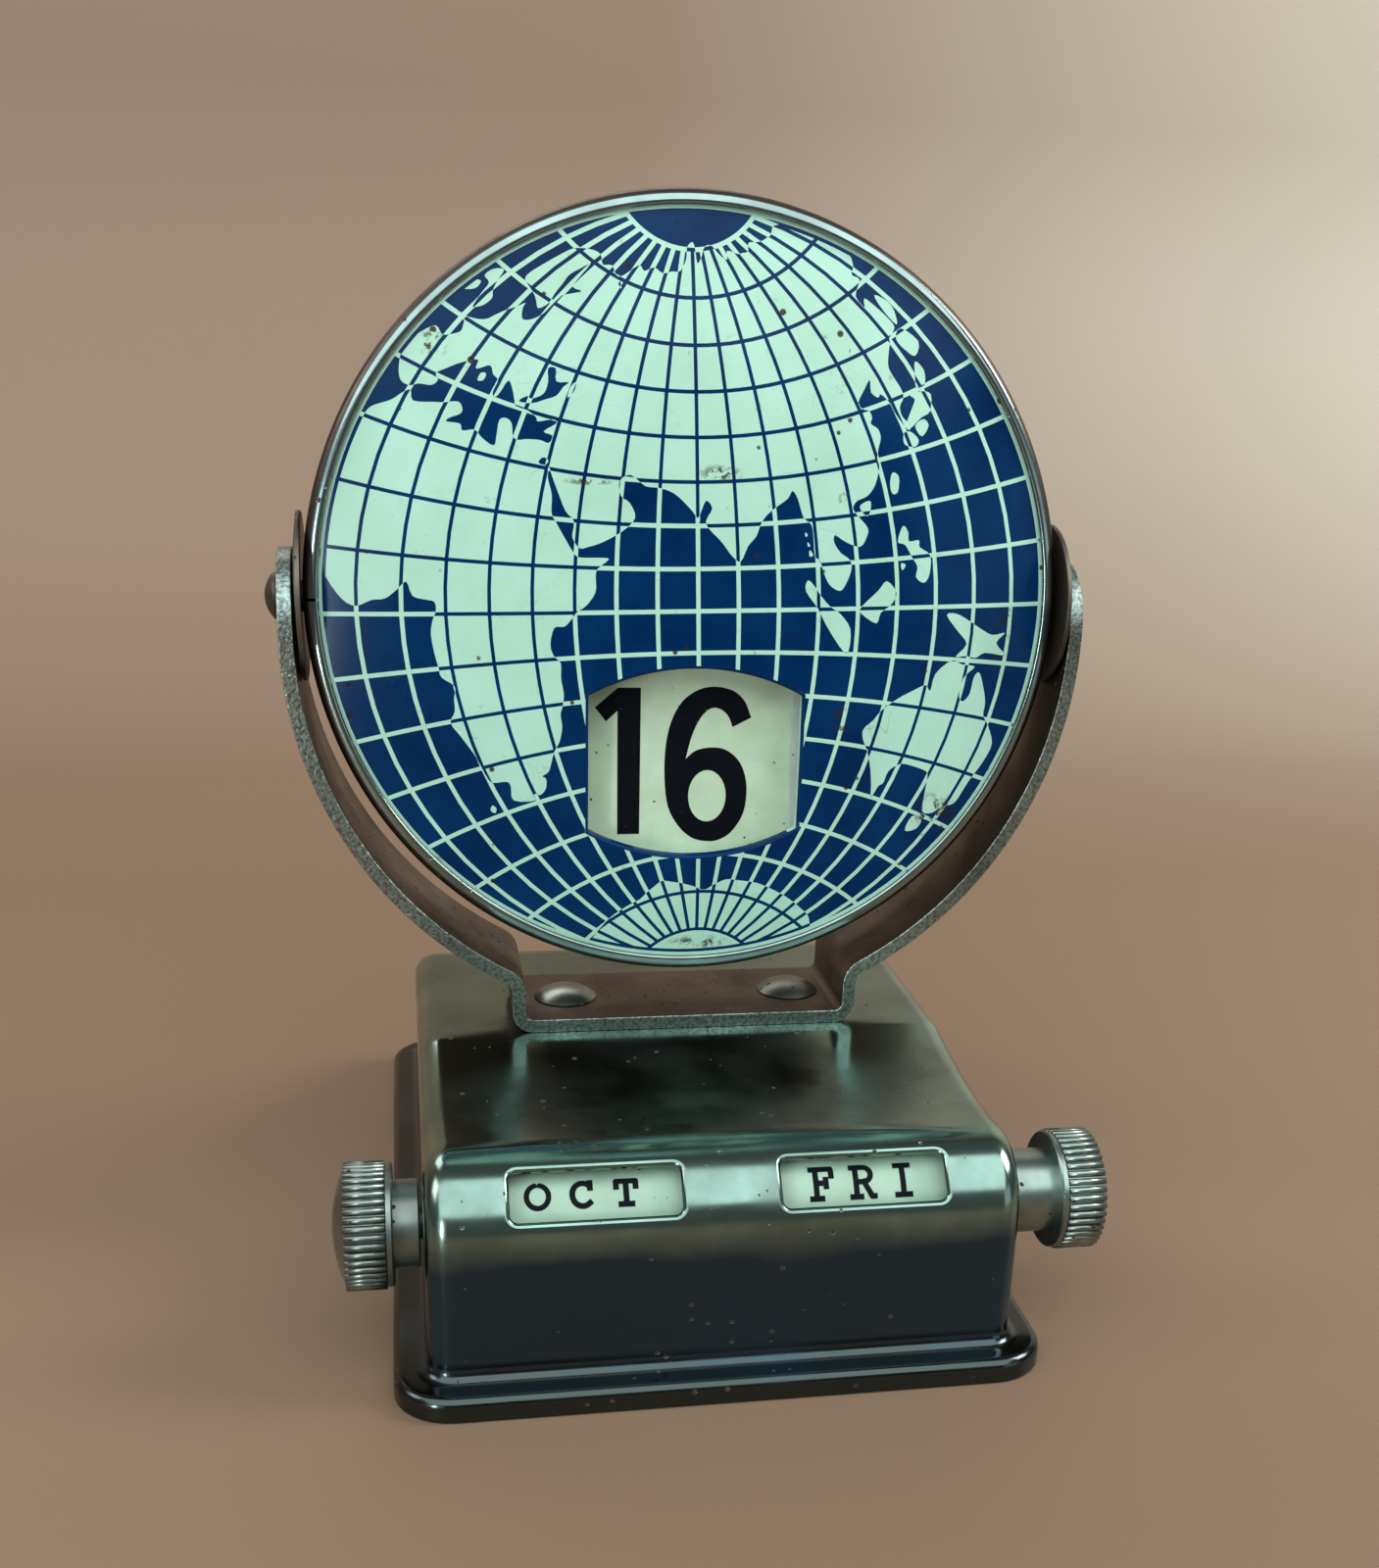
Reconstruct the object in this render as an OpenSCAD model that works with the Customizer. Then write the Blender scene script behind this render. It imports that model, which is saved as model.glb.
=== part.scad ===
// Perpetual desk calendar: a round flip drum held in a riveted yoke on a
// pressed steel base, with a month roller and a weekday roller in the base.
// Millimetres. +Z is up and -Y is the front. The origin lies on the table,
// under the middle of the base.

/* [Base] */
// Width of the base across its foot flange
base_w = 62.4; // [56:0.2:72]
// Depth of the base across its foot flange
base_d = 86.4; // [80:0.2:96]
// How far the foot flange stands out from the walls
flange_lip = 3.2; // [2.4:0.1:5]
// Height of the foot flange
flange_h = 2.4; // [2:0.1:3.2]
// Thickness of the pressed sheet
sheet_t = 0.8; // [0.6:0.05:1]
// Rounding of the base's pressed edges
edge_r = 2.4; // [1.6:0.1:3]
// Radius of the rounded shoulder over the rollers
shoulder_r = 7.1; // [6.8:0.1:8.5]
// Height of the ridge over the rollers
ridge_z = 22.7; // [21.5:0.1:25]
// Height of the platform that carries the yoke
platform_z = 24.2; // [23:0.1:28]
// Hollow of the sweep between the ridge and the platform
sweep_sag = 0.8; // [0.3:0.1:1.4]
// Distance from the front of the flange to the pivot axis
pivot_setback = 40.4; // [38:0.2:46]
// Length of the platform in front of the pivot axis
platform_front = 7.2; // [6.9:0.1:9]
// Length of the platform behind the pivot axis
platform_back = 17.6; // [12:0.2:20]
// Height of the upright part of the rear wall
rear_wall_z = 8.5; // [6:0.5:12]
// Thickness of the bottom plate
bottom_t = 0.8; // [0.6:0.1:1.2]

/* [Windows] */
// Width of the month window and of the weekday window
slot_w = 15.7; // [12:0.1:18]
// Height of those windows along the shoulder
slot_h = 5; // [4:0.1:6]
// Distance between the two windows
slot_gap = 9.3; // [6:0.1:12]
// Angle at which the windows face upwards
slot_angle = 41; // [35:1:50]
// Corner radius of those windows
slot_r = 0.8; // [0.4:0.1:1.5]

/* [Rollers and knobs] */
// Radius of a roller
roller_r = 7.1; // [6:0.1:7.2]
// Distance of the roller axis behind the front wall
roller_y = 8.7; // [8.5:0.1:10]
// Height of the roller axis
roller_z = 14.4; // [12.5:0.1:14.6]
// Play between a roller and the bracket or the rounded end beside it
roller_play = 0.5; // [0.3:0.1:1.5]
// Diameter of a roller shaft
shaft_d = 3; // [2:0.1:4]
// Diameter of a knob
knob_d = 12; // [9:0.1:14]
// Length of a knob without its hub and its domed end
knob_l = 4.4; // [3:0.1:7]
// Length of the plain collar at a knob's inner end
knob_collar = 0.7; // [0.3:0.1:1.5]
// Height of a knob's domed end
knob_dome = 1.2; // [0.6:0.1:2]
// Number of knurls round a knob
knurls = 38; // [24:1:48]
// Depth of a knurl
knurl_depth = 0.45; // [0.2:0.05:0.7]
// Diameter of a knob's hub
hub_d = 8.3; // [6:0.1:9]
// Distance between the left wall and the left knob
left_knob_gap = 2.7; // [1:0.1:5]
// Distance between the right wall and the right knob
right_knob_gap = 4.9; // [1:0.1:7]
// Thickness of the roller bracket
bracket_t = 0.9; // [0.6:0.1:1.2]
// Width of the roller bracket between its outer faces
bracket_w = 4.6; // [3.6:0.1:6]
// Sheet of the bracket on each side of a shaft
bracket_rim = 3; // [2:0.1:4]

/* [Yoke] */
// Thickness of the yoke strip
strip_t = 1.4; // [1:0.1:1.8]
// Width of the yoke strip
strip_w = 13.6; // [12:0.1:14]
// Length of the yoke foot between its outer faces
yoke_foot_l = 36.4; // [35.4:0.1:44]
// Gap between the drum and the yoke foot
drum_clear = 4.9; // [3.2:0.1:12]
// Gap between the drum and a yoke ear
ear_gap = 0.9; // [0.85:0.05:2.4]
// Depth of the arms' centre below the pivot axis
arm_drop = 3.2; // [2.5:0.1:4.5]
// Height of the ears above the pivot axis
ear_rise = 4.6; // [4:0.1:7]
// Inner radius of the turn from the foot's riser into an arm
turn_r = 1.6; // [1:0.1:3]
// Inner radius of the bend at the foot
foot_bend_r = 0.8; // [0.4:0.1:1.2]
// Distance between the two rivets
rivet_gap = 24.4; // [20:0.2:25.2]
// Diameter of a rivet head
rivet_head_d = 6.6; // [5:0.1:7.6]
// Height of a rivet head
rivet_head_h = 1.3; // [0.8:0.1:1.6]
// Diameter of a rivet shank
rivet_d = 3; // [2:0.1:4]

/* [Drum] */
// Outer radius of the drum
drum_r = 37.2; // [36:0.1:38.3]
// Width of the drum's rim band
band_w = 9.6; // [9:0.1:11]
// Thickness of the band's sheet
band_t = 0.6; // [0.4:0.05:0.8]
// Radius of the rolled edge of the band
bead_r = 1.2; // [1:0.1:1.6]
// How far the rolled edge reaches over the faces
bead_lip = 0.6; // [0.5:0.1:1.4]
// Height of the dome of each face
dome_h = 3.2; // [2:0.1:4]
// Thickness of a face
face_t = 0.4; // [0.3:0.05:0.5]
// Lean of the drum at rest
drum_lean = 4; // [0:1:8]
// Width of the date window
window_w = 21.2; // [18:0.1:22]
// Height of the date window in its middle
window_h = 18.8; // [16:0.1:20]
// Height of the date window at its sides
window_side_h = 13.5; // [11:0.1:15]
// Distance of the date window's middle from the drum's middle
window_drop = 15.4; // [14:0.1:16]
// Gap between the date window's turned edge and the cage
lip_gap = 0.2; // [0.1:0.05:1.5]
// Gap in the band where its two ends meet
seam_gap = 0.3; // [0.1:0.1:0.6]

/* [Date tiles] */
// Width of a date tile
tile_w = 21.6; // [20:0.1:23]
// Height of a date tile
tile_h = 21.4; // [18:0.1:22]
// Thickness of a date tile
tile_t = 0.34; // [0.3:0.01:0.36]
// Room between neighbouring tiles
tile_gap = 0.02; // [0.01:0.01:0.04]
// Thickness of the cage's sheet
cage_t = 0.5; // [0.4:0.05:0.6]
// Play of the tiles in the cage
tile_play = 0.2; // [0.1:0.05:0.4]

/* [Pivots] */
// Diameter of a pivot pin
pin_d = 3; // [2:0.1:4]
// Diameter of a pin head
pin_head_d = 4.4; // [3.6:0.1:6]
// Height of a pin head
pin_head_h = 1.4; // [0.8:0.1:2]
// Diameter of the dished washer
washer_d = 16; // [12:0.1:17]
// Thickness of the dished washer
washer_t = 0.4; // [0.3:0.05:0.5]

/* [Hidden] */
$fn = 96;
// 31 dates need 16 tiles with two sides each
tiles = 16;
run_fit = 0.05;
seat = 0.02;
through = 1;
overlap = 0.1;
wall_play = 0.3;
rim_fit = 0.05;
upset_h = 0.9;
knob_step = 0.15;
tile_names = [for (i = [1:tiles]) str("tile_", i < 10 ? "0" : "", i)];

// base
body_w = base_w - 2 * flange_lip;
body_d = base_d - 2 * flange_lip;
front_y = -body_d / 2;
pivot_y = -base_d / 2 + pivot_setback;
shoulder_y = front_y + shoulder_r;
shoulder_z = ridge_z - shoulder_r;
sweep_end_y = pivot_y - platform_front;
platform_end_y = pivot_y + platform_back;
cove_r = 1.2;
flange_round = 1;
base_sink = 5;
rear_shoulder_r = 6;
rear_round = 3;
rollers_y = front_y + roller_y;

// yoke, with heights measured from the pivot axis
pivot_z = platform_z + strip_t + drum_clear + drum_r;
ear_x = drum_r + ear_gap;
foot_z = platform_z + strip_t - pivot_z;
arm_r = ear_x;
riser_x = yoke_foot_l / 2 - strip_t;
rivet_x = rivet_gap / 2;
ear_r = strip_w / 2;

// drum, with n along its axis, towards the front
bead_n = band_w / 2;
rim_n = bead_n - band_t;
face_r = drum_r - bead_r;
print_r = drum_r - bead_r - bead_lip;
arc_sag = (window_h - window_side_h) / 2;
arc_r = (window_w * window_w / 4 + arc_sag * arc_sag) / (2 * arc_sag);

// tiles and cage
stack_t = tiles * tile_t + (tiles - 1) * tile_gap;
cage_in_w = tile_w + 2 * tile_play;
cage_in_n = stack_t / 2 + tile_play;
cage_in_h = window_drop + tile_h / 2 + seat;
strap_w = 6;
strap_t = 0.8;
strap_tab = 9;
strap_x = drum_r - band_t - 0.9;

// ---------- shared shapes ----------

// Rectangle with round corners, centred
module round_rect(w, h, r) {
    square([w - 2 * r, h], center = true);
    square([w, h - 2 * r], center = true);
    for (x = [-1, 1], y = [-1, 1])
        translate([x * (w / 2 - r), y * (h / 2 - r)]) circle(r);
}

// Profile (outward distance, height) carried round a rectangle with round corners
module round_the_wall(w, d, r) {
    for (side = [0:3]) rotate(side * 90) {
        across = side % 2 == 0 ? w : d;
        along = side % 2 == 0 ? d : w;
        translate([across / 2, along / 2 - r, 0]) rotate([90, 0, 0]) linear_extrude(along - 2 * r) children();
        translate([across / 2 - r, along / 2 - r, 0])
            rotate_extrude(angle = 90, $fn = 48) translate([r, 0]) children();
    }
}

// Cylinder along X from x0 to x1
module x_rod(x0, x1, d) {
    translate([x0, 0, 0]) rotate([0, 90, 0]) cylinder(h = x1 - x0, d = d);
}

// Solid turned about X from points (radius, x)
module x_turned(points) {
    rotate([90, 0, 90]) rotate_extrude() polygon(points);
}

// Points (radius, height) of a low dome of radius r and height h that stands at z
function dome(r, h, z, steps = 8) =
    let (sphere_r = (r * r + h * h) / (2 * h), half = asin(r / sphere_r))
    [for (i = [steps:-1:0]) [sphere_r * sin(half * i / steps), z + h - sphere_r * (1 - cos(half * i / steps))]];

function arc(cx, cy, r, a0, a1, steps) =
    [for (i = [0:steps]) let (a = a0 + (a1 - a0) * i / steps) [cx + r * cos(a), cy + r * sin(a)]];

// ---------- base ----------

// Side outline of the base (y, z), from the front wall over the top to the rear wall
sweep_chord = norm([sweep_end_y - shoulder_y, platform_z - ridge_z]);
sweep_r = (sweep_chord * sweep_chord / 4 + sweep_sag * sweep_sag) / (2 * sweep_sag);
sweep_tilt = atan2(platform_z - ridge_z, sweep_end_y - shoulder_y);
sweep_half = asin(sweep_chord / 2 / sweep_r);
sweep_mid = [(sweep_end_y + shoulder_y) / 2, (platform_z + ridge_z) / 2];
sweep_c = sweep_mid + (sweep_r - sweep_sag) * [-sin(sweep_tilt), cos(sweep_tilt)];
rear_c = [platform_end_y, platform_z - rear_shoulder_r];
rear_end = [body_d / 2, rear_wall_z];
rear_slope = atan2(rear_c.y - rear_end.y, rear_end.x - rear_c.x) + asin(rear_shoulder_r / norm(rear_end - rear_c));
rear_corner = rear_end - rear_round * [1, tan((90 - rear_slope) / 2)];

base_outline = concat(
    [[front_y, -base_sink]],
    arc(shoulder_y, shoulder_z, shoulder_r, 180, 90, 12),
    arc(sweep_c.x, sweep_c.y, sweep_r, sweep_tilt - 90 - sweep_half + 2, sweep_tilt - 90 + sweep_half, 8),
    arc(rear_c.x, rear_c.y, rear_shoulder_r, 90, 90 - rear_slope, 5),
    arc(rear_corner.x, rear_corner.y, rear_round, 90 - rear_slope, 0, 5),
    [[body_d / 2, -base_sink]]);

// Outline moved inwards by d at every corner; the points run clockwise
function inset(points, d) =
    [for (i = [0:len(points) - 1])
        let (
            before = points[(i + len(points) - 1) % len(points)],
            after = points[(i + 1) % len(points)],
            along1 = (points[i] - before) / norm(points[i] - before),
            along2 = (after - points[i]) / norm(after - points[i]),
            in1 = [along1.y, -along1.x],
            in2 = [along2.y, -along2.x])
        points[i] + d * (in1 + in2) / (1 + in1 * in2)];

// Prism of width w along X on a (y, z) outline, with its end edges rounded by r
module rounded_prism(points, w, r, steps = 6) {
    count = len(points);
    half = [for (k = [0:steps]) let (a = 90 * k / steps) [w / 2 - r + r * sin(a), r * (1 - cos(a))]];
    levels = concat([for (k = [steps:-1:0]) [-half[k][0], half[k][1]]], half);
    corners = [for (level = levels) each [for (p = inset(points, level[1])) [level[0], p.x, p.y]]];
    sides = [for (k = [0:len(levels) - 2], i = [0:count - 1])
        let (a = k * count + i, b = k * count + (i + 1) % count) [a, b, b + count, a + count]];
    last = (len(levels) - 1) * count;
    polyhedron(corners, concat(
        [[for (i = [count - 1:-1:0]) i]], sides, [[for (i = [0:count - 1]) last + i]]), convexity = 4);
}

module flange_section() {
    difference() {
        union() {
            translate([-sheet_t / 2, 0]) square([flange_lip + sheet_t / 2 - flange_round, flange_h]);
            square([flange_lip, flange_h - flange_round]);
            translate([flange_lip - flange_round, flange_h - flange_round]) circle(flange_round, $fn = 32);
            translate([-sheet_t / 2, flange_h - overlap]) square([cove_r + sheet_t / 2, cove_r + overlap]);
        }
        translate([cove_r, flange_h + cove_r]) circle(cove_r, $fn = 32);
        translate([-sheet_t - 1, -1]) square([flange_lip + 1, flange_h - sheet_t + 1]);
    }
}

module base_shell() {
    color("#b9bfc2") difference() {
        union() {
            intersection() {
                difference() {
                    rounded_prism(base_outline, body_w, edge_r);
                    rounded_prism(inset(base_outline, sheet_t), body_w - 2 * sheet_t, edge_r - sheet_t);
                }
                translate([-base_w, -base_d, flange_h - sheet_t / 2]) cube([2 * base_w, 2 * base_d, 2 * ridge_z]);
            }
            round_the_wall(body_w, body_d, edge_r) flange_section();
        }
        for (side = [-1, 1]) {
            translate([side * (slot_gap + slot_w) / 2, shoulder_y, shoulder_z])
                rotate([90 - slot_angle, 0, 0]) linear_extrude(2 * shoulder_r) round_rect(slot_w, slot_h, slot_r);
            translate([side * rivet_x, pivot_y, platform_z - 2 * sheet_t])
                cylinder(h = 4 * sheet_t, d = rivet_d + 2 * seat);
        }
        translate([0, rollers_y, roller_z]) x_rod(-base_w, base_w, shaft_d + 2 * run_fit);
    }
}

module bottom_plate() {
    edge = sheet_t + 0.1;
    color("#7d8083") linear_extrude(bottom_t)
        round_rect(base_w - 2 * edge, base_d - 2 * edge, edge_r + flange_lip - edge);
}

// U-shaped bracket on the bottom plate that carries the inner ends of both shafts
module roller_bracket() {
    wing = shaft_d + 2 * bracket_rim;
    color("#8f9295") translate([0, rollers_y, 0]) difference() {
        union() {
            translate([-bracket_w / 2, -wing / 2, bottom_t]) cube([bracket_w, wing, bracket_t]);
            for (side = [-1, 1]) translate([side * (bracket_w - bracket_t) / 2, 0, 0]) {
                translate([-bracket_t / 2, -wing / 2, bottom_t])
                    cube([bracket_t, wing, roller_z - bottom_t]);
                translate([0, 0, roller_z]) x_rod(-bracket_t / 2, bracket_t / 2, wing);
            }
        }
        translate([0, 0, roller_z]) x_rod(-bracket_w, bracket_w, shaft_d + 2 * run_fit);
    }
}

// ---------- rollers and knobs, along +X from the bracket ----------

module on_roller_axis(side) {
    translate([0, rollers_y, roller_z]) mirror([side < 0 ? 1 : 0, 0, 0]) children();
}

roller_x0 = bracket_w / 2 + roller_play;
roller_x1 = body_w / 2 - edge_r - roller_play;

module roller() {
    difference() {
        x_rod(roller_x0, roller_x1, 2 * roller_r);
        x_rod(0, base_w, shaft_d + 2 * seat);
    }
}

module shaft(gap) {
    x_rod(bracket_w / 2 - bracket_t, body_w / 2 + gap + knob_l / 2, shaft_d);
}

module knob(gap) {
    inner = body_w / 2 + gap;
    outer = inner + knob_l;
    core_r = knob_d / 2 - knurl_depth - knob_step;
    collar_r = knob_d / 2 - knob_step;
    knurl_x = inner + knob_collar;
    difference() {
        union() {
            x_turned(concat([[0, body_w / 2 + wall_play], [hub_d / 2, body_w / 2 + wall_play], [hub_d / 2, inner],
                [collar_r, inner], [collar_r, knurl_x], [core_r, knurl_x]], dome(core_r, knob_dome, outer)));
            translate([knurl_x, 0, 0]) rotate([90, 0, 90]) linear_extrude(knob_l - knob_collar)
                polygon([for (i = [0:2 * knurls - 1])
                    let (a = i * 180 / knurls, r = knob_d / 2 - (i % 2) * knurl_depth) [r * cos(a), r * sin(a)]]);
        }
        x_rod(body_w / 2 - through, inner + knob_l / 2 + seat, shaft_d + 2 * seat);
    }
}

module month_roller() { color("#e8e6d8") on_roller_axis(-1) roller(); }
module month_shaft() { color("#9a9da0") on_roller_axis(-1) shaft(left_knob_gap); }
module month_knob() { color("#a9adaf") on_roller_axis(-1) knob(left_knob_gap); }
module weekday_roller() { color("#e8e6d8") on_roller_axis(1) roller(); }
module weekday_shaft() { color("#9a9da0") on_roller_axis(1) shaft(right_knob_gap); }
module weekday_knob() { color("#a9adaf") on_roller_axis(1) knob(right_knob_gap); }

// ---------- yoke ----------

// The turn touches the riser's outer line and the arm's outer line from outside
turn_x = riser_x + strip_t + turn_r;
turn_reach = arm_r + strip_t + turn_r;
arm_start = asin(turn_x / turn_reach);
turn_z = -arm_drop - turn_reach * cos(arm_start);

// One edge line of the strip's front outline, from the middle of the foot to the ear (x, z).
// The line runs a distance d outside the face that looks at the drum.
function yoke_line(d) =
    let (bend_x = riser_x - foot_bend_r, bend_z = foot_z + foot_bend_r)
    concat(
        arc(bend_x, bend_z, foot_bend_r + d, -90, 0, 6),
        arc(turn_x, turn_z, turn_r + strip_t - d, 180, 90 + arm_start, 8),
        arc(0, -arm_drop, arm_r + d, arm_start - 90, 0, 20),
        [[ear_x + d, ear_rise]]);

function backwards(points) = [for (i = [len(points) - 1:-1:0]) points[i]];
function mirrored(points) = [for (p = backwards(points)) [-p.x, p.y]];
yoke_outline = concat(mirrored(yoke_line(0)), yoke_line(0), backwards(yoke_line(strip_t)),
    backwards(mirrored(yoke_line(strip_t))));

module yoke() {
    color("#a7a49f") translate([0, pivot_y, pivot_z]) difference() {
        intersection() {
            rotate([90, 0, 0]) translate([0, 0, -strip_w / 2]) linear_extrude(strip_w) polygon(yoke_outline);
            rotate([90, 0, 90]) translate([0, 0, -base_w]) linear_extrude(2 * base_w) {
                translate([-ear_r, foot_z - 2 * strip_t]) square([strip_w, ear_rise - ear_r - foot_z + 2 * strip_t]);
                translate([0, ear_rise - ear_r]) circle(ear_r);
            }
        }
        x_rod(-base_w, base_w, pin_d + 2 * run_fit);
        for (side = [-1, 1]) translate([side * rivet_x, 0, foot_z - 2 * strip_t])
            cylinder(h = 3 * strip_t, d = rivet_d + 2 * seat);
    }
}

// Domed rivet head on top, shank, and a flat head under the platform
module rivet(side) {
    under = platform_z - sheet_t;
    top = platform_z + strip_t;
    upset_r = rivet_head_d / 2 - 0.7;
    color("#aeb2b4") translate([side * rivet_x, pivot_y, 0]) rotate_extrude()
        polygon(concat([[0, under - upset_h], [upset_r, under - upset_h], [upset_r, under], [rivet_d / 2, under],
            [rivet_d / 2, top]], dome(rivet_head_d / 2, rivet_head_h, top)));
}

module rivet_left() { rivet(-1); }
module rivet_right() { rivet(1); }

// ---------- drum, drawn with x across, y up and z out of the front face ----------

module in_drum() {
    translate([0, pivot_y, pivot_z]) rotate([-drum_lean, 0, 0]) rotate([90, 0, 0]) children();
}

// One rolled edge and half of the wall (radius, n)
module band_half_section() {
    translate([drum_r - band_t, 0]) square([band_t, bead_n - bead_r]);
    intersection() {
        translate([drum_r - bead_r, bead_n - bead_r]) difference() {
            circle(bead_r, $fn = 48);
            circle(bead_r - band_t, $fn = 48);
        }
        translate([drum_r - bead_r, bead_n - bead_r]) square(bead_r);
    }
    translate([print_r, rim_n]) square([bead_lip, band_t]);
}

module rim_band() {
    color("#a4a6a6") in_drum() difference() {
        rotate_extrude($fn = 180) {
            band_half_section();
            mirror([0, 1]) band_half_section();
        }
        x_rod(-base_w, base_w, pin_d + 2 * seat);
        translate([-base_w, -seam_gap / 2, -band_w]) cube([base_w, seam_gap, 2 * band_w]);
    }
}

// Height of a face over its rim at radius r
function dome_n(r) = dome_h * (1 - pow(r / print_r, 3));

module window_shape(shrink) {
    r = arc_r - shrink;
    intersection() {
        square([window_w - 2 * shrink, 2 * arc_r], center = true);
        translate([0, window_h / 2 - arc_r]) circle(r);
        translate([0, arc_r - window_h / 2]) circle(r);
    }
}

// Points (radius, n) on the dome, a distance down inside its surface
function dome_points(down, steps = 18) =
    [for (i = [0:steps]) let (r = print_r * i / steps) [r, rim_n - rim_fit - down + dome_n(r)]];

// Domed face with a flat rim, and the edge of its window turned in towards the cage
module face(window_v) {
    lip_n = cage_in_n + cage_t + lip_gap;
    difference() {
        union() {
            rotate_extrude($fn = 120) {
                polygon(concat(dome_points(0), backwards(dome_points(face_t))));
                translate([print_r - 0.2, rim_n - rim_fit - face_t]) square([face_r - print_r + 0.2, face_t]);
            }
            intersection() {
                translate([0, window_v, lip_n]) linear_extrude(2 * band_w) window_shape(-face_t);
                rotate_extrude($fn = 120) polygon(concat([[0, 0], [print_r, 0]], backwards(dome_points(face_t / 2))));
            }
        }
        translate([0, window_v, 0]) linear_extrude(4 * band_w) window_shape(0);
    }
}

module front_face() { color("#1d3f73") in_drum() face(-window_drop); }
module back_face() { color("#1d3f73") in_drum() rotate([0, 180, 0]) face(window_drop); }

// Sheet box that guides the tiles, open behind each date window
module tile_cage() {
    out_w = cage_in_w + 2 * cage_t;
    out_h = 2 * cage_in_h + 2 * cage_t;
    out_n = 2 * cage_in_n + 2 * cage_t;
    color("#c9c6b4") in_drum() difference() {
        cube([out_w, out_h, out_n], center = true);
        cube([cage_in_w, 2 * cage_in_h, 2 * cage_in_n], center = true);
        for (side = [-1, 1]) translate([0, -side * window_drop, side * out_n / 2])
            cube([window_w - 0.4, window_h + 0.4, 4 * cage_t], center = true);
    }
}

// Strap from the cage's side to the rim, bent where the pivot pin goes through
module strap(side) {
    cage_x = cage_in_w / 2 + cage_t;
    color("#9b9d9e") in_drum() mirror([side < 0 ? 1 : 0, 0, 0]) difference() {
        union() {
            translate([cage_x, -strap_t / 2 + strap_tab / 2, -strap_w / 2])
                cube([strap_x - cage_x, strap_t, strap_w]);
            translate([cage_x, -strap_tab / 2, -strap_w / 2]) cube([strap_t, strap_tab, strap_w]);
            translate([strap_x - strap_t, -strap_tab / 2, -strap_w / 2])
                cube([strap_t, strap_tab + strap_t / 2, strap_w]);
        }
        x_rod(strap_x - 3 * strap_t, strap_x + strap_t, pin_d + 2 * seat);
    }
}

module strap_left() { strap(-1); }
module strap_right() { strap(1); }

module pin(side) {
    head_x = ear_x + strip_t + run_fit;
    tab_x = strap_x - strap_t;
    color("#8a8c8e") in_drum() mirror([side < 0 ? 1 : 0, 0, 0])
        x_turned(concat([[0, tab_x - upset_h], [pin_d / 2 + 0.8, tab_x - upset_h], [pin_d / 2 + 0.8, tab_x],
            [pin_d / 2, tab_x], [pin_d / 2, head_x]], dome(pin_head_d / 2, pin_head_h, head_x)));
}

module pin_left() { pin(-1); }
module pin_right() { pin(1); }

// Dished washer: its rim is next to the drum and its crown next to the yoke ear
module washer(side) {
    rise = ear_x - run_fit - drum_r - seat - washer_t;
    r = washer_d / 2;
    bore = pin_d / 2 + seat;
    crown = bore + 1.6;
    color("#6f7172") in_drum() mirror([side < 0 ? 1 : 0, 0, 0]) translate([drum_r + seat, 0, 0]) rotate([0, 90, 0])
        rotate_extrude() polygon([
            [bore, rise], [crown, rise], [r * 0.7, rise * 0.7], [r, 0],
            [r, washer_t], [r * 0.7 + 0.1, rise * 0.7 + washer_t], [crown, rise + washer_t], [bore, rise + washer_t]]);
}

module washer_left() { washer(-1); }
module washer_right() { washer(1); }

// Tile i of the stack, counted from the front
module tile(i) {
    front = stack_t / 2 - i * (tile_t + tile_gap);
    color("#efe9cf") in_drum() translate([0, -window_drop, front - tile_t])
        linear_extrude(tile_t) round_rect(tile_w, tile_h, 0.8);
}

base_shell();
bottom_plate();
roller_bracket();
yoke();
rivet_left();
rivet_right();
rim_band();
front_face();
back_face();
tile_cage();
strap_left();
strap_right();
pin_left();
pin_right();
washer_left();
washer_right();
month_roller();
month_shaft();
month_knob();
weekday_roller();
weekday_shaft();
weekday_knob();
for (i = [0:tiles - 1]) tile(i);
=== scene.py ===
"""Dresses the perpetual desk calendar.

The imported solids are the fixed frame. This script makes the printed drum, the plated sheet
metal, the date figures, the rollers and the knobs at their places in that frame, gives every
piece its finish, and sets up the studio. Sizes are millimetres until a mesh is made.
"""

from __future__ import annotations

import logging
import math
from dataclasses import dataclass, field
from enum import Enum, IntEnum
from typing import Callable, Sequence, Union

import bpy
from mathutils import Matrix, Vector
from mathutils.geometry import delaunay_2d_cdt

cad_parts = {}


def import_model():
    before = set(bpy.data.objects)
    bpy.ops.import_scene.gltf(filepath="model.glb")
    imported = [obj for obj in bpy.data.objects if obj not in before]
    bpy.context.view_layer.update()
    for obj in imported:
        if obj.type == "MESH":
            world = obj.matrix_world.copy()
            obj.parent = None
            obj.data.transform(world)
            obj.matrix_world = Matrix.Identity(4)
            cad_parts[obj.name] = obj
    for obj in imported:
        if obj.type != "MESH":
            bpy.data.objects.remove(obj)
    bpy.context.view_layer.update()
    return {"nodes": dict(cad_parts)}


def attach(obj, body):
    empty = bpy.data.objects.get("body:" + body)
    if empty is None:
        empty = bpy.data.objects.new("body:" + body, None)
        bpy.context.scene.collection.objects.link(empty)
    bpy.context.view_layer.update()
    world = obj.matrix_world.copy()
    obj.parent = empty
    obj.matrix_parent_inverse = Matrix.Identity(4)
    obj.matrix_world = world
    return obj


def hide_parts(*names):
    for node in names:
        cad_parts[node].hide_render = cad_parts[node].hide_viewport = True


LOG = logging.getLogger("calendar")
MM = 0.001
TINY = 1e-6
# Corners of a draft that are nearer than one part of this many in a millimetre are one corner
CORNERS_PER_MM = 2e4
# Loops that are nearer than this meet
LOOP_GAP = 1e-5
# Longest step along a pen stroke
INK_STEP = 0.3
# Edges that turn by less than this many degrees are shaded as one
SOFT_ANGLE = 35.0

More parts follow.
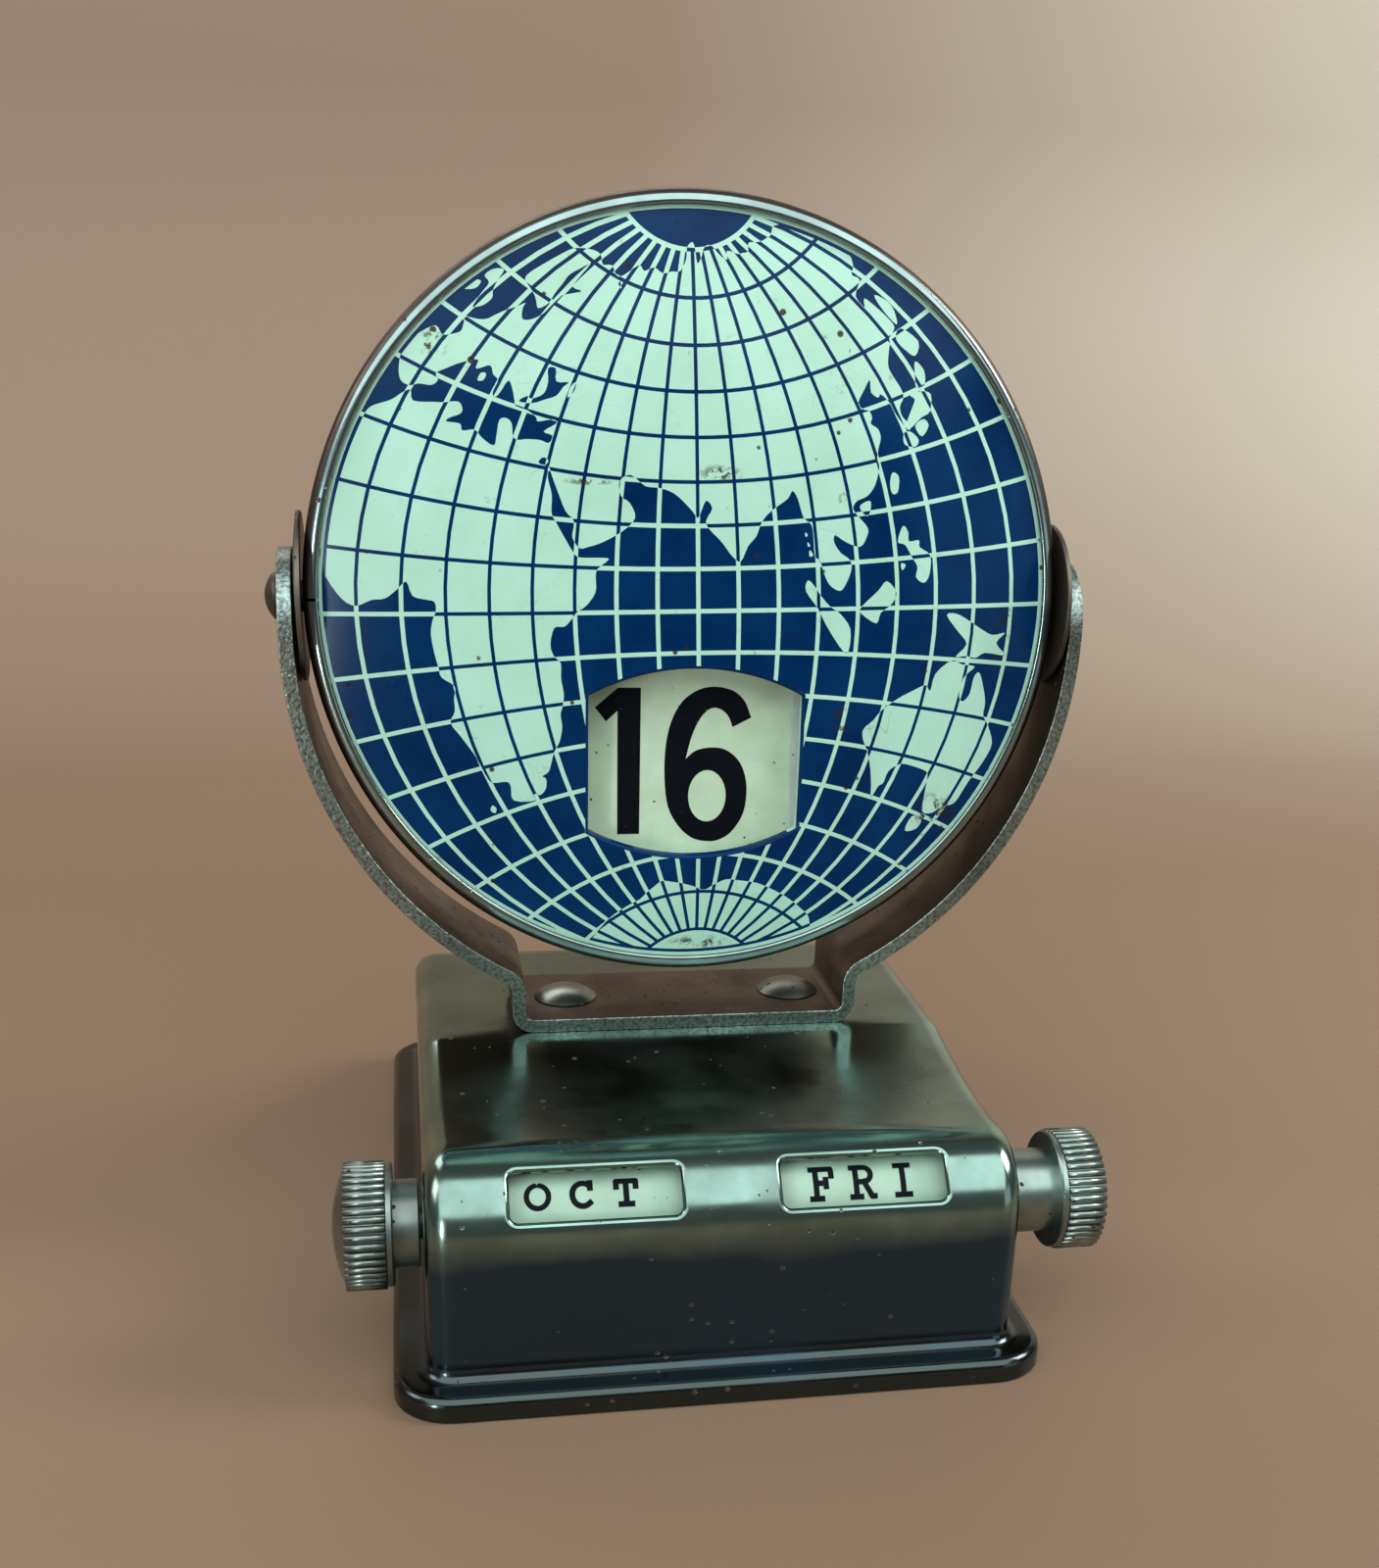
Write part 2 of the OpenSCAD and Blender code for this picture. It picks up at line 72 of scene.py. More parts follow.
# Places and fits that several sub-assemblies share; the pivot and the rollers' axis are (y, z)
PIVOT = (-2.8, 67.7)
ROLLER_AXIS = (-31.3, 14.4)
DRUM_R = 37.2
WALL_X = 28.0
SHEET_T = 0.8
RUN_FIT = 0.05
SEAT = 0.02

Point = tuple[float, float]
Triple = tuple[float, float, float]
Colour = tuple[float, float, float, float]
Loops = Sequence[Sequence[Point]]
Stroke = tuple[Point, ...]
Triangle = tuple[tuple[int, ...], set[int]]
Spot = tuple[Vector, Vector]
Place = tuple[Vector, Vector, Vector, Vector]
Surface = Callable[[float, float], Place]
Material = bpy.types.Material
Piece = bpy.types.Object
Node = bpy.types.Node
Socket = bpy.types.NodeSocket
Value = Union[float, Sequence[float], Material, Socket]
Key = Union[str, int]


# ---------- plane geometry


def arc(cx: float, cy: float, r: float, a0: float, a1: float, steps: int) -> list[Point]:
    """Points on an arc.

    Args:
        cx: Centre, first coordinate.
        cy: Centre, second coordinate.
        r: Radius.
        a0: First angle in degrees.
        a1: Last angle in degrees.
        steps: Number of equal steps.

    Returns:
        steps + 1 points.
    """
    angles = [math.radians(a0 + (a1 - a0) * i / steps) for i in range(steps + 1)]
    return [(cx + r * math.cos(a), cy + r * math.sin(a)) for a in angles]


def circle(r: float, steps: int, cx: float = 0, cy: float = 0) -> list[Point]:
    """Points of a closed circle."""
    return arc(cx, cy, r, 0, 360, steps)[:-1]


def quarters(x: float, y: float) -> list[Triple]:
    """Centres of a rectangle's four round corners, each with its arc's first angle."""
    return [(x, y, 0), (-x, y, 90), (-x, -y, 180), (x, -y, 270)]


def round_rect(w: float, h: float, r: float, steps: int) -> list[Point]:
    """Anticlockwise rectangle with round corners, centred."""
    corners = quarters(w / 2 - r, h / 2 - r)
    return [p for cx, cy, a in corners for p in arc(cx, cy, r, a, a + 90, steps)]


def disc_grid(r: float, rings: int, margin: float, spokes: int) -> list[Point]:
    """Points on rings over a disc.

    Args:
        r: Radius of the disc.
        rings: Number of rings.
        margin: Free width at the edge, as a share of the rings' spacing.
        spokes: Points that each ring has more than the one inside it.

    Returns:
        The points.
    """
    sizes = [(r * k / (rings + margin), max(6, spokes * k)) for k in range(1, rings + 1)]
    return [p for size, count in sizes for p in circle(size, count)]


def signed_area(loop: Sequence[Point]) -> float:
    """Area of a closed loop, above zero if it runs anticlockwise."""
    pairs = zip(loop, list(loop[1:]) + [loop[0]])
    return sum(a[0] * b[1] - b[0] * a[1] for a, b in pairs) / 2


def anticlockwise(loop: Sequence[Point]) -> list[Point]:
    """The loop, turned round if it runs clockwise."""
    return list(loop) if signed_area(loop) > 0 else list(reversed(loop))


def edge_normals(loop: Sequence[Point], outwards: bool) -> list[Vector]:
    """Direction at each corner of an anticlockwise loop that points out of it or into it.

    Args:
        loop: Closed anticlockwise loop.
        outwards: True for the outside, False for the inside.

    Returns:
        One unit vector for each corner, half-way between its two edges.
    """
    result = []
    count = len(loop)
    for i in range(count):
        before, here, after = (Vector(loop[(i + k) % count]) for k in (-1, 0, 1))
        along = (here - before).normalized() + (after - here).normalized()
        normal = Vector((along.y, -along.x)).normalized()
        result.append(normal if outwards else -normal)
    return result


def subdivided(points: Sequence[Point], longest: float) -> list[Point]:
    """Adds points to an open line.

    Args:
        points: The line.
        longest: Longest step that the new line may have.

    Returns:
        The line with the points added.
    """
    result = [tuple(points[0])]
    for a, b in zip(points, points[1:]):
        parts = max(1, math.ceil(math.dist(a, b) / longest))
        for k in range(1, parts + 1):
            result.append((a[0] + (b[0] - a[0]) * k / parts, a[1] + (b[1] - a[1]) * k / parts))
    return result


def smooth_loop(points: Sequence[Point], parts: int, sharp: Sequence[int] = ()) -> list[Point]:
    """Closed curve through the points, by the Catmull-Rom rule.

    Args:
        points: Points that the curve passes through.
        parts: Steps between two neighbours.
        sharp: Numbers of the points at which the curve has a corner.

    Returns:
        The points of the closed curve.
    """
    result = []
    count = len(points)
    for i in range(count):
        p0, p1, p2, p3 = (Vector(points[(i + k) % count]) for k in (-1, 0, 1, 2))
        if i in sharp:
            p0 = p1
        if (i + 1) % count in sharp:
            p3 = p2
        for k in range(parts):
            t = k / parts
            curve = 2 * p1 + (p2 - p0) * t + (2 * p0 - 5 * p1 + 4 * p2 - p3) * t * t
            q = 0.5 * (curve + (3 * p1 - p0 - 3 * p2 + p3) * t**3)
            result.append((q.x, q.y))
    return result


def ribbon(line: Sequence[Point], width: float) -> list[Point]:
    """Outline of a line drawn with a pen.

    Args:
        line: Open or closed line.
        width: Width of the pen.

    Returns:
        The anticlockwise outline.
    """
    left, right = [], []
    last = len(line) - 1
    for i, here in enumerate(line):
        before = Vector(line[max(i - 1, 0)])
        after = Vector(line[min(i + 1, last)])
        along = (after - before).normalized()
        across = Vector((-along.y, along.x)) * width / 2
        left.append((here[0] + across.x, here[1] + across.y))
        right.append((here[0] - across.x, here[1] - across.y))
    return anticlockwise(left + right[::-1])


def triangulate(loops: Loops, extra: Sequence[Point] = ()) -> tuple[list[Point], list[Triangle]]:
    """Triangles inside closed loops, split wherever loops cross.

    Args:
        loops: Closed anticlockwise loops, which may cross each other.
        extra: Free points that the triangles use as corners.

    Returns:
        The corner points, and for each triangle its corners and the loops that hold it.
    """
    corners: list[Vector] = []
    faces = []
    for loop in loops:
        faces.append(list(range(len(corners), len(corners) + len(loop))))
        corners += [Vector(p) for p in loop]
    corners += [Vector(p) for p in extra]
    points, _, triangles, _, _, owners = delaunay_2d_cdt(corners, [], faces, 1, LOOP_GAP)
    return [tuple(p) for p in points], [(tuple(t), set(o)) for t, o in zip(triangles, owners)]


def filled(loops: Loops, extra: Sequence[Point] = ()) -> list[list[Point]]:
    """Triangles inside the first loop and outside the others, each as its three corners."""
    points, triangles = triangulate([anticlockwise(loop) for loop in loops], extra)
    return [[points[c] for c in corners] for corners, owners in triangles if owners == {0}]


class Path:
    """An open line that is followed by length, with its direction blended along it."""

    def __init__(self, line: Sequence[Point]) -> None:
        """Measures the line.

        Args:
            line: Points of the line.
        """
        self.line = line
        self.lengths = [0.0]
        for a, b in zip(line, line[1:]):
            self.lengths.append(self.lengths[-1] + math.dist(a, b))
        steps = [(Vector(b) - Vector(a)).normalized() for a, b in zip(line, line[1:])]
        blends = [(a + b).normalized() for a, b in zip(steps, steps[1:])]
        self.ways = steps[:1] + blends + steps[-1:]

    def at(self, s: float) -> Spot:
        """Follows the line.

        Args:
            s: Length from its start, held to its ends.

        Returns:
            The point there and the unit direction.
        """
        k = max(i for i in range(len(self.lengths) - 1) if self.lengths[i] <= max(s, 0))
        t = min(max((s - self.lengths[k]) / (self.lengths[k + 1] - self.lengths[k]), 0), 1)
        point = Vector(self.line[k]).lerp(Vector(self.line[k + 1]), t)
        return point, self.ways[k].lerp(self.ways[k + 1], t).normalized()


# ---------- mesh making


@dataclass
class Draft:
    """Faces of one piece, with the true normal of the surface at every corner."""

    points: list[Vector] = field(default_factory=list)
    faces: list[tuple[int, ...]] = field(default_factory=list)
    normals: list[Vector] = field(default_factory=list)
    finishes: list[int] = field(default_factory=list)
    index: dict[tuple[int, int, int], int] = field(default_factory=dict)

    def corner(self, p: Vector) -> int:
        """Finds or adds a corner.

        Args:
            p: Place of the corner in millimetres.

        Returns:
            Its number, shared with the faces that already meet there.
        """
        key = tuple(round(c * CORNERS_PER_MM) for c in p)
        if key not in self.index:
            self.index[key] = len(self.points)
            self.points.append(p)
        return self.index[key]

    def face(self, corners: Sequence[Vector], normals: Sequence[Vector], finish: int = 0) -> None:
        """Adds a face and turns it to the side of its normals.

        Args:
            corners: Corner points in millimetres.
            normals: Surface normal at each corner.
            finish: Material slot of the face.
        """
        ids = [self.corner(p) for p in corners]
        keep = [i for i in range(len(ids)) if ids[i] != ids[i - 1]]
        ids = [ids[i] for i in keep]
        if len(ids) < 3 or len(set(ids)) < len(ids):
            return
        kept = [normals[i].normalized() for i in keep]
        p = [self.points[i] for i in ids]
        area = sum(((p[i] - p[0]).cross(p[i + 1] - p[0]) for i in range(1, len(p) - 1)), Vector())
        if area.dot(sum(kept, Vector())) < 0:
            ids.reverse()
            kept.reverse()
        self.faces.append(tuple(ids))
        self.normals += kept
        self.finishes.append(finish)

    def strip(self, rows: Sequence[Sequence[Spot]], closed: bool, finish: int = 0) -> None:
        """Adds the faces between neighbouring rows.

        Args:
            rows: Rows of (point, normal), all of one length.
            closed: True if the last point of a row joins the first.
            finish: Material slot of the faces.
        """
        for low, high in zip(rows, rows[1:]):
            count = len(low) if closed else len(low) - 1
            for i in range(count):
                k = (i + 1) % len(low)
                quad = (low[i], low[k], high[k], high[i])
                self.face([q[0] for q in quad], [q[1] for q in quad], finish)

    def lay(self, patches: Loops, surface: Surface, *layers: tuple[float, int, int]) -> None:
        """Adds patches that lie on a surface, once for each layer.

        Args:
            patches: Polygons in the surface's own coordinates.
            surface: The surface.
            *layers: For each layer its depth under the surface, its side (1 out, -1 in) and its slot.
        """
        for patch in patches:
            spots = [surface(*p) for p in patch]
            for depth, side, slot in layers:
                self.face([s[0] - s[3] * depth for s in spots], [s[3] * side for s in spots], slot)

    def make(self, name: str, materials: Sequence[Material]) -> Piece:
        """Makes the object, in metres and at the origin.

        Args:
            name: Name of the piece.
            materials: Materials in the order of the slots.

        Returns:
            The new object, linked to the scene.
        """
        mesh = bpy.data.meshes.new(name)
        mesh.from_pydata([p * MM for p in self.points], [], self.faces)
        for material in materials:
            mesh.materials.append(material)
        mesh.polygons.foreach_set("material_index", self.finishes)
        mesh.polygons.foreach_set("use_smooth", [True] * len(self.faces))
        mesh.normals_split_custom_set([tuple(n) for n in self.normals])
        piece = bpy.data.objects.new(name, mesh)
        bpy.context.scene.collection.objects.link(piece)
        LOG.info("%s: %d faces", name, len(self.faces))
        return piece


def edge_rows(
    surface: Surface, loop: Sequence[Point], outwards: bool, thickness: float, roll: float, steps: int
) -> list[list[Spot]]:
    """Rounded edge of a sheet that lies on a surface.

    Args:
        surface: The surface.
        loop: Anticlockwise edge in the surface's own coordinates.
        outwards: True for the outline of the sheet, False for a hole.
        thickness: Thickness of the sheet.
        roll: Radius of both roundings.
        steps: Steps of each rounding.

    Returns:
        Rows of (point, normal) from the face over the edge to the back.
    """
    away = edge_normals(loop, outwards)
    turns = [90 * k / steps for k in range(steps + 1)]
    path = [(1 - math.sin(math.radians(a)), 1 - math.cos(math.radians(a)), a) for a in turns]
    rings = [(inset * roll, depth * roll, a) for inset, depth, a in path]
    rings += [(inset, thickness - depth, 180 - a) for inset, depth, a in reversed(rings)]
    rows = []
    for inset, depth, angle in rings:
        row = []
        for p, m in zip(loop, away):
            point, t1, t2, n = surface(p[0] - m.x * inset, p[1] - m.y * inset)
            side = (t1 * m.x + t2 * m.y).normalized()
            turn = math.radians(angle)
            row.append((point - n * depth, n * math.cos(turn) + side * math.sin(turn)))
        rows.append(row)
    return rows


def sideways(yz: Point, side: int = 1) -> Matrix:
    """Axes at (y, z) whose local Z points to the right, or to the left if side is -1."""
    return Matrix.Translation((0, *yz)) @ Matrix.Rotation(math.radians(90 * side), 4, "Y")


def turned(
    draft: Draft,
    profile: Sequence[Point],
    place: Matrix,
    steps: int = 96,
    sweep: Point = (0, 360),
    crease: float = SOFT_ANGLE,
) -> None:
    """Turns a closed profile about the local Z axis.

    Args:
        draft: Where the faces go.
        profile: Closed loop of (radius, height).
        place: Place of the local axes in the model.
        steps: Steps round the axis.
        sweep: First and last angle in degrees.
        crease: Angle between two edges above which their corner stays sharp.
    """
    loop = anticlockwise(profile)
    count = len(loop)
    edges = [(Vector(loop[(i + 1) % count]) - Vector(loop[i])).normalized() for i in range(count)]
    turn = place.to_3x3()
    angles = [math.radians(sweep[0] + (sweep[1] - sweep[0]) * k / steps) for k in range(steps + 1)]

    def normal(edge: int, neighbour: int) -> Vector:
        """Outward normal at one end of an edge.

        Args:
            edge: Number of the edge.
            neighbour: Number of the edge that it meets there.

        Returns:
            The normal, blended with the neighbour's where the corner is soft.
        """
        d = edges[edge]
        if edges[edge].angle(edges[neighbour]) < math.radians(crease):
            d = (edges[edge] + edges[neighbour]).normalized()
        return Vector((d.y, -d.x))

    for i in range(count):
        ends = ((loop[i], normal(i, i - 1)), (loop[(i + 1) % count], normal(i, (i + 1) % count)))
        if ends[0][0][0] < TINY and ends[1][0][0] < TINY:
            continue
        rows = []
        for (r, z), n in ends:
            row = []
            for a in angles:
                c, s = math.cos(a), math.sin(a)
                row.append((place @ Vector((r * c, r * s, z)), turn @ Vector((n.x * c, n.x * s, n.y))))
            rows.append(row)
        draft.strip(rows, False)
    if sweep[1] - sweep[0] < 360:
        patches = filled([loop])
        for a, side in ((angles[0], -1), (angles[-1], 1)):
            c, s = math.cos(a), math.sin(a)
            facing = turn @ Vector((-s, c, 0)) * side
            for patch in patches:
                draft.face([place @ Vector((r * c, r * s, z)) for r, z in patch], [facing] * 3)


def dome(r: float, h: float, z: float, steps: int = 10) -> list[Point]:
    """Outline of a low dome.

    Args:
        r: Radius of its rim.
        h: Height over its rim.
        z: Height of its rim.
        steps: Number of steps.

    Returns:
        Points (radius, height) from its rim to its top.
    """
    ball = (r * r + h * h) / (2 * h)
    half = math.asin(r / ball)
    angles = [half * i / steps for i in range(steps, -1, -1)]
    return [(ball * math.sin(a), z + h - ball * (1 - math.cos(a))) for a in angles]


# ---------- shader building


class Graph:
    """Short calls to build a node tree."""

    def __init__(self, tree: bpy.types.NodeTree) -> None:
        """Keeps the tree that the calls add to."""
        self.tree = tree

    def feed(self, node: Node, inputs: dict[Key, Value]) -> None:
        """Sets or links the inputs of a node.

        Args:
            node: The node.
            inputs: Input name or number to a value or to an output that is linked to it.
        """
        for name, value in inputs.items():
            if isinstance(value, Socket):
                self.tree.links.new(value, node.inputs[name])
            else:
                node.inputs[name].default_value = value

    def node(self, kind: str, inputs: dict[Key, Value] | None = None, **settings: object) -> Node:
        """Adds a node.

        Args:
            kind: Blender's type name of the node.
            inputs: Its inputs, as feed takes them.
            **settings: Attributes of the node.

        Returns:
            The new node.
        """
        node = self.tree.nodes.new(kind)
        for name, value in settings.items():
            setattr(node, name, value)
        self.feed(node, inputs or {})
        return node

    def math(self, operation: str, *values: Value) -> Socket:
        """Output of a Math node on the given values."""
        return self.node("ShaderNodeMath", dict(enumerate(values)), operation=operation).outputs[0]

    def noise(self, at: Socket, scale: Value, detail: float = 3, rough: float = 0.55) -> Socket:
        """Value of a Noise texture."""
        inputs = {"Vector": at, "Scale": scale, "Detail": detail, "Roughness": rough}
        return self.node("ShaderNodeTexNoise", inputs).outputs["Fac"]

    def stretch(self, value: Value, low: float, high: float, to_high: float = 1) -> Socket:
        """Value stretched from low and high to 0 and to_high, and clamped."""
        return self.node("ShaderNodeMapRange", {0: value, 1: low, 2: high, 3: 0, 4: to_high}).outputs[0]

    def mix(self, share: Value, a: Value, b: Value) -> Socket:
        """Colour between a and b."""
        return self.node("ShaderNodeMix", {0: share, 6: a, 7: b}, data_type="RGBA").outputs[2]

    def bump(self, height: Value, strength: float, distance: float, invert: bool = False) -> Socket:
        """Normal that follows a height."""
        inputs = {"Height": height, "Strength": strength, "Distance": distance}
        return self.node("ShaderNodeBump", inputs, invert=invert).outputs[0]


def rgb(red: int, green: int, blue: int) -> Colour:
    """Linear colour of a screen colour given in 0 to 255."""
    parts = [c / 255 for c in (red, green, blue)]
    return tuple(c / 12.92 if c < 0.04045 else ((c + 0.055) / 1.055) ** 2.4 for c in parts) + (1.0,)


class Group(Enum):
    """The shader groups that several finishes share."""

    PITS = "pits_and_haze"
    SCRATCHES = "fine_scratches"


def new_group(kind: Group, values: dict[str, float], outputs: Sequence[str]) -> tuple[Graph, Node, Node]:
    """Starts a shader group with number inputs and number outputs.

    Args:
        kind: Which group it is.
        values: Input names and their defaults.
        outputs: Output names.

    Returns:
        The graph, its input node and its output node.
    """
    tree = bpy.data.node_groups.new(kind.value, "ShaderNodeTree")
    tree.interface.new_socket("Vector", in_out="INPUT", socket_type="NodeSocketVector")
    for name, value in values.items():
        socket = tree.interface.new_socket(name, in_out="INPUT", socket_type="NodeSocketFloat")
        socket.default_value = value
    for name in outputs:
        tree.interface.new_socket(name, in_out="OUTPUT", socket_type="NodeSocketFloat")
    graph = Graph(tree)
    return graph, graph.node("NodeGroupInput"), graph.node("NodeGroupOutput")


def build_pits() -> None:
    """Pits: small dark spots that gather in patches, with a cloudy haze over the plating."""
    defaults = {"Size": 1400.0, "Spread": 0.5, "Patch": 90.0}
    g, start, end = new_group(Group.PITS, defaults, ("Pits", "Haze", "Height"))
    at = start.outputs["Vector"]
    haze = g.noise(at, start.outputs["Patch"], 4.0, 0.6)
    cell = g.node("ShaderNodeTexVoronoi", {"Vector": at, "Scale": start.outputs["Size"], "Randomness": 1.0})
    parts = g.node("ShaderNodeSeparateColor", {0: cell.outputs["Color"]})
    reach = g.math("MULTIPLY", g.stretch(haze, 0.4, 0.8), start.outputs["Spread"])
    chosen = g.math("LESS_THAN", parts.outputs[0], reach)
    radius = g.math("MULTIPLY_ADD", parts.outputs[1], 0.26, 0.1)
    inside = g.math("SUBTRACT", radius, cell.outputs["Distance"])
    spot = g.math("MULTIPLY", chosen, g.stretch(inside, 0.0, 0.1))
    g.feed(end, {"Pits": spot, "Haze": haze, "Height": g.math("SUBTRACT", 1.0, spot)})


def build_scratches() -> None:
    """Scratches: thin broken lines in two directions."""
    g, start, end = new_group(Group.SCRATCHES, {"Scale": 240.0, "Amount": 0.5}, ("Lines",))
    at, scale = start.outputs["Vector"], start.outputs["Scale"]
    lines = []
    for turn, stretch in ((0.5, 14.0), (-0.9, 22.0)):
        inputs = {"Vector": at, "Rotation": (turn, turn * 1.7, turn), "Scale": (1.0, stretch, 1.0)}
        drawn_out = g.node("ShaderNodeMapping", inputs).outputs[0]
        inputs = {"Vector": drawn_out, "Scale": scale, "Detail": 2.0, "Distortion": 0.4}
        bands = g.node("ShaderNodeTexNoise", inputs).outputs["Fac"]
        near = g.math("ABSOLUTE", g.math("SUBTRACT", bands, 0.5))
        lines.append(g.stretch(near, 0.004, 0.0))
    patch = g.math("MULTIPLY", g.stretch(g.noise(at, 110.0), 0.5, 0.66), start.outputs["Amount"])
    g.feed(end, {"Lines": g.math("MULTIPLY", g.math("MAXIMUM", *lines), patch)})


@dataclass(frozen=True)
class Finish:
    """Base of the finishes: a named material with a Principled BSDF."""

    name: str

    def start(self) -> tuple[Material, Graph, Node, Socket]:
        """Makes the material.

        Returns:
            The material, its graph, its Principled node and the Object coordinate.
        """
        material = bpy.data.materials.new(self.name)
        material.use_nodes = True
        graph = Graph(material.node_tree)
        shader = material.node_tree.nodes["Principled BSDF"]
        at = graph.node("ShaderNodeTexCoord").outputs["Object"]
        return material, graph, shader, at

    @staticmethod
    def group(graph: Graph, kind: Group, at: Socket, **values: float) -> Node:
        """Places a shared group in the material.

        Args:
            graph: The material's graph.
            kind: Which group it is.
            at: Coordinate that the group's pattern follows.
            **values: The material's own values of the group's inputs.

        Returns:
            The group's node.
        """
        node = graph.node("ShaderNodeGroup", node_tree=bpy.data.node_groups[kind.value])
        graph.feed(node, {"Vector": at, **values})
        return node


@dataclass(frozen=True)
class PlatedSteel(Finish):
    """Bright plating with pits, rust specks, haze and a slightly uneven surface.

    Bands are heights over the table in metres, between which one tone goes over into the next; below them is
    painted shade.
    """

    colour: Colour = rgb(200, 205, 203)
    haze_colour: Colour = rgb(150, 150, 146)
    rust: Colour = rgb(60, 38, 28)
    roughness: float = 0.12
    haze: float = 0.14
    spread: float = 0.35
    waviness: float = 0.12
    grain: float = 0.0
    # Painted shade: the lower wall takes the wall shade colour and the foot the foot shade colour, both
    # darker than the plating
    wall_shade_colour: Colour | None = None
    foot_shade_colour: Colour | None = None
    wall_shade_band: Point = (0.0155, 0.0185)
    foot_shade_band: Point = (0.0045, 0.0065)
    ragged: float = 0.004
    pit_scale: float = 1300.0
    patch_scale: float = 85.0
    scratch_scale: float = 200.0
    wave_scale: float = 230.0

    def tone(self, g: Graph, at: Socket, tone: Socket) -> Socket:
        """Adds the painted shade of the lower wall and the foot, and the rust grain, where the finish has
        them.

        Args:
            g: The material's graph.
            at: Object coordinate.
            tone: Tone of the plating.

        Returns:
            The new tone.
        """
        # Painted shade: darker towards the foot of the wall, in two ragged bands by height
        if self.wall_shade_colour:
            level = g.node("ShaderNodeSeparateXYZ", {0: at}).outputs["Z"]
            height = g.math("MULTIPLY_ADD", g.noise(at, 90.0), self.ragged, level)
            tone = g.mix(g.stretch(height, *self.wall_shade_band), self.wall_shade_colour, tone)
            tone = g.mix(g.stretch(height, *self.foot_shade_band), self.foot_shade_colour or self.wall_shade_colour, tone)
        if self.grain:
            grains = g.stretch(g.noise(at, 2600.0, 2), 0.42, 0.62, self.grain)
            tone = g.mix(grains, tone, self.rust)
        return tone

    def material(self) -> Material:
        """Builds the material.

        Returns:
            The material.
        """
        material, g, shader, at = self.start()
        wear = self.group(g, Group.PITS, at, Size=self.pit_scale, Spread=self.spread, Patch=self.patch_scale)
        lines = self.group(g, Group.SCRATCHES, at, Scale=self.scratch_scale, Amount=0.5).outputs["Lines"]
        pits, cloud = wear.outputs["Pits"], g.stretch(wear.outputs["Haze"], 0.35, 0.7)
        tone = self.tone(g, at, g.mix(cloud, self.colour, self.haze_colour))
        rough = g.math("MULTIPLY_ADD", cloud, self.haze, self.roughness)
        rough = g.math("MULTIPLY_ADD", lines, 0.25, rough)
        wave = g.noise(at, self.wave_scale, 2.5, 0.5)
        height = g.math("MULTIPLY_ADD", wave, self.waviness, wear.outputs["Height"])
        if self.grain:
            height = g.math("MULTIPLY_ADD", g.noise(at, 3000.0, 3), self.grain * 2.0, height)
        g.feed(shader, {
            "Base Color": g.mix(pits, tone, self.rust),
            "Metallic": g.math("MULTIPLY_ADD", pits, -0.8, 1.0),
            "Roughness": g.math("MULTIPLY_ADD", pits, 0.4, rough),
            "Normal": g.bump(height, 0.5, 0.00012),
        })
        return material


@dataclass(frozen=True)
class PrintedTin(Finish):
    """Glossy printing ink on tin, with dark scuffs, fine scratches and a few scraped places.

    A scrape is an oval, given by its x, z and half sizes in millimetres.
    """

    colour: Colour = rgb(0, 48, 92)
    shade: Colour = rgb(0, 30, 72)
    scuff: Colour = rgb(38, 28, 24)
    scuffs: float = 0.3
    scrapes: tuple[tuple[float, float, float, float], ...] = (
        (25.4, 46.7, 3.0, 3.0), (14.7, 56.9, 1.0, 2.2), (1.0, 33.8, 3.6, 0.9), (-10.5, 79.4, 2.6, 0.4),
        (14.1, 78.3, 0.7, 0.9), (2.0, 80.4, 2.4, 0.9), (31.8, 66.0, 1.0, 2.6), (-24.5, 91.0, 1.8, 1.4),
    )

    def scraped(self, g: Graph, at: Socket) -> Socket:
        """Mask of the scraped places.

        Args:
            g: The material's graph.
            at: Object coordinate.

        Returns:
            The mask, broken up by a fine noise.
        """
        ovals = []
        for x, z, half_w, half_h in self.scrapes:
            scale = (1 / (half_w * MM), 0, 1 / (half_h * MM))
            inputs = {"Vector": at, "Location": (-x / half_w, 0, -z / half_h), "Scale": scale}
            oval = g.node("ShaderNodeMapping", inputs).outputs[0]
            far = g.node("ShaderNodeVectorMath", {0: oval}, operation="LENGTH").outputs["Value"]
            ovals.append(g.stretch(far, 1.0, 0.4))
        mask = ovals[0]
        for oval in ovals[1:]:
            mask = g.math("MAXIMUM", mask, oval)
        return g.math("MULTIPLY", mask, g.stretch(g.noise(at, 950.0, 5, 0.75), 0.5, 0.56))

    def material(self) -> Material:
        """Builds the material.

        Returns:
            The material.
        """
        material, g, shader, at = self.start()
        wear = self.group(g, Group.PITS, at, Size=900.0, Spread=self.scuffs * 0.4, Patch=120.0)
        lines = self.group(g, Group.SCRATCHES, at, Scale=130.0, Amount=self.scuffs).outputs["Lines"]
        tone = g.mix(g.stretch(wear.outputs["Haze"], 0.3, 0.75), self.colour, self.shade)
        smear = g.math("MULTIPLY", g.stretch(g.noise(at, 520.0, 4, 0.7), 0.66, 0.74), self.scuffs)
        marks = g.math("MAXIMUM", g.math("MAXIMUM", wear.outputs["Pits"], smear), lines)
        marks = g.math("MAXIMUM", marks, self.scraped(g, at))
        g.feed(shader, {
            "Base Color": g.mix(marks, tone, self.scuff),
            "Roughness": g.math("MULTIPLY_ADD", marks, 0.35, 0.2),
            "Specular IOR Level": 0.09,
            "Coat Weight": 0.02,
            "Coat Roughness": 0.05,
            "Normal": g.bump(marks, 0.3, 0.00005, True),
        })
        return material


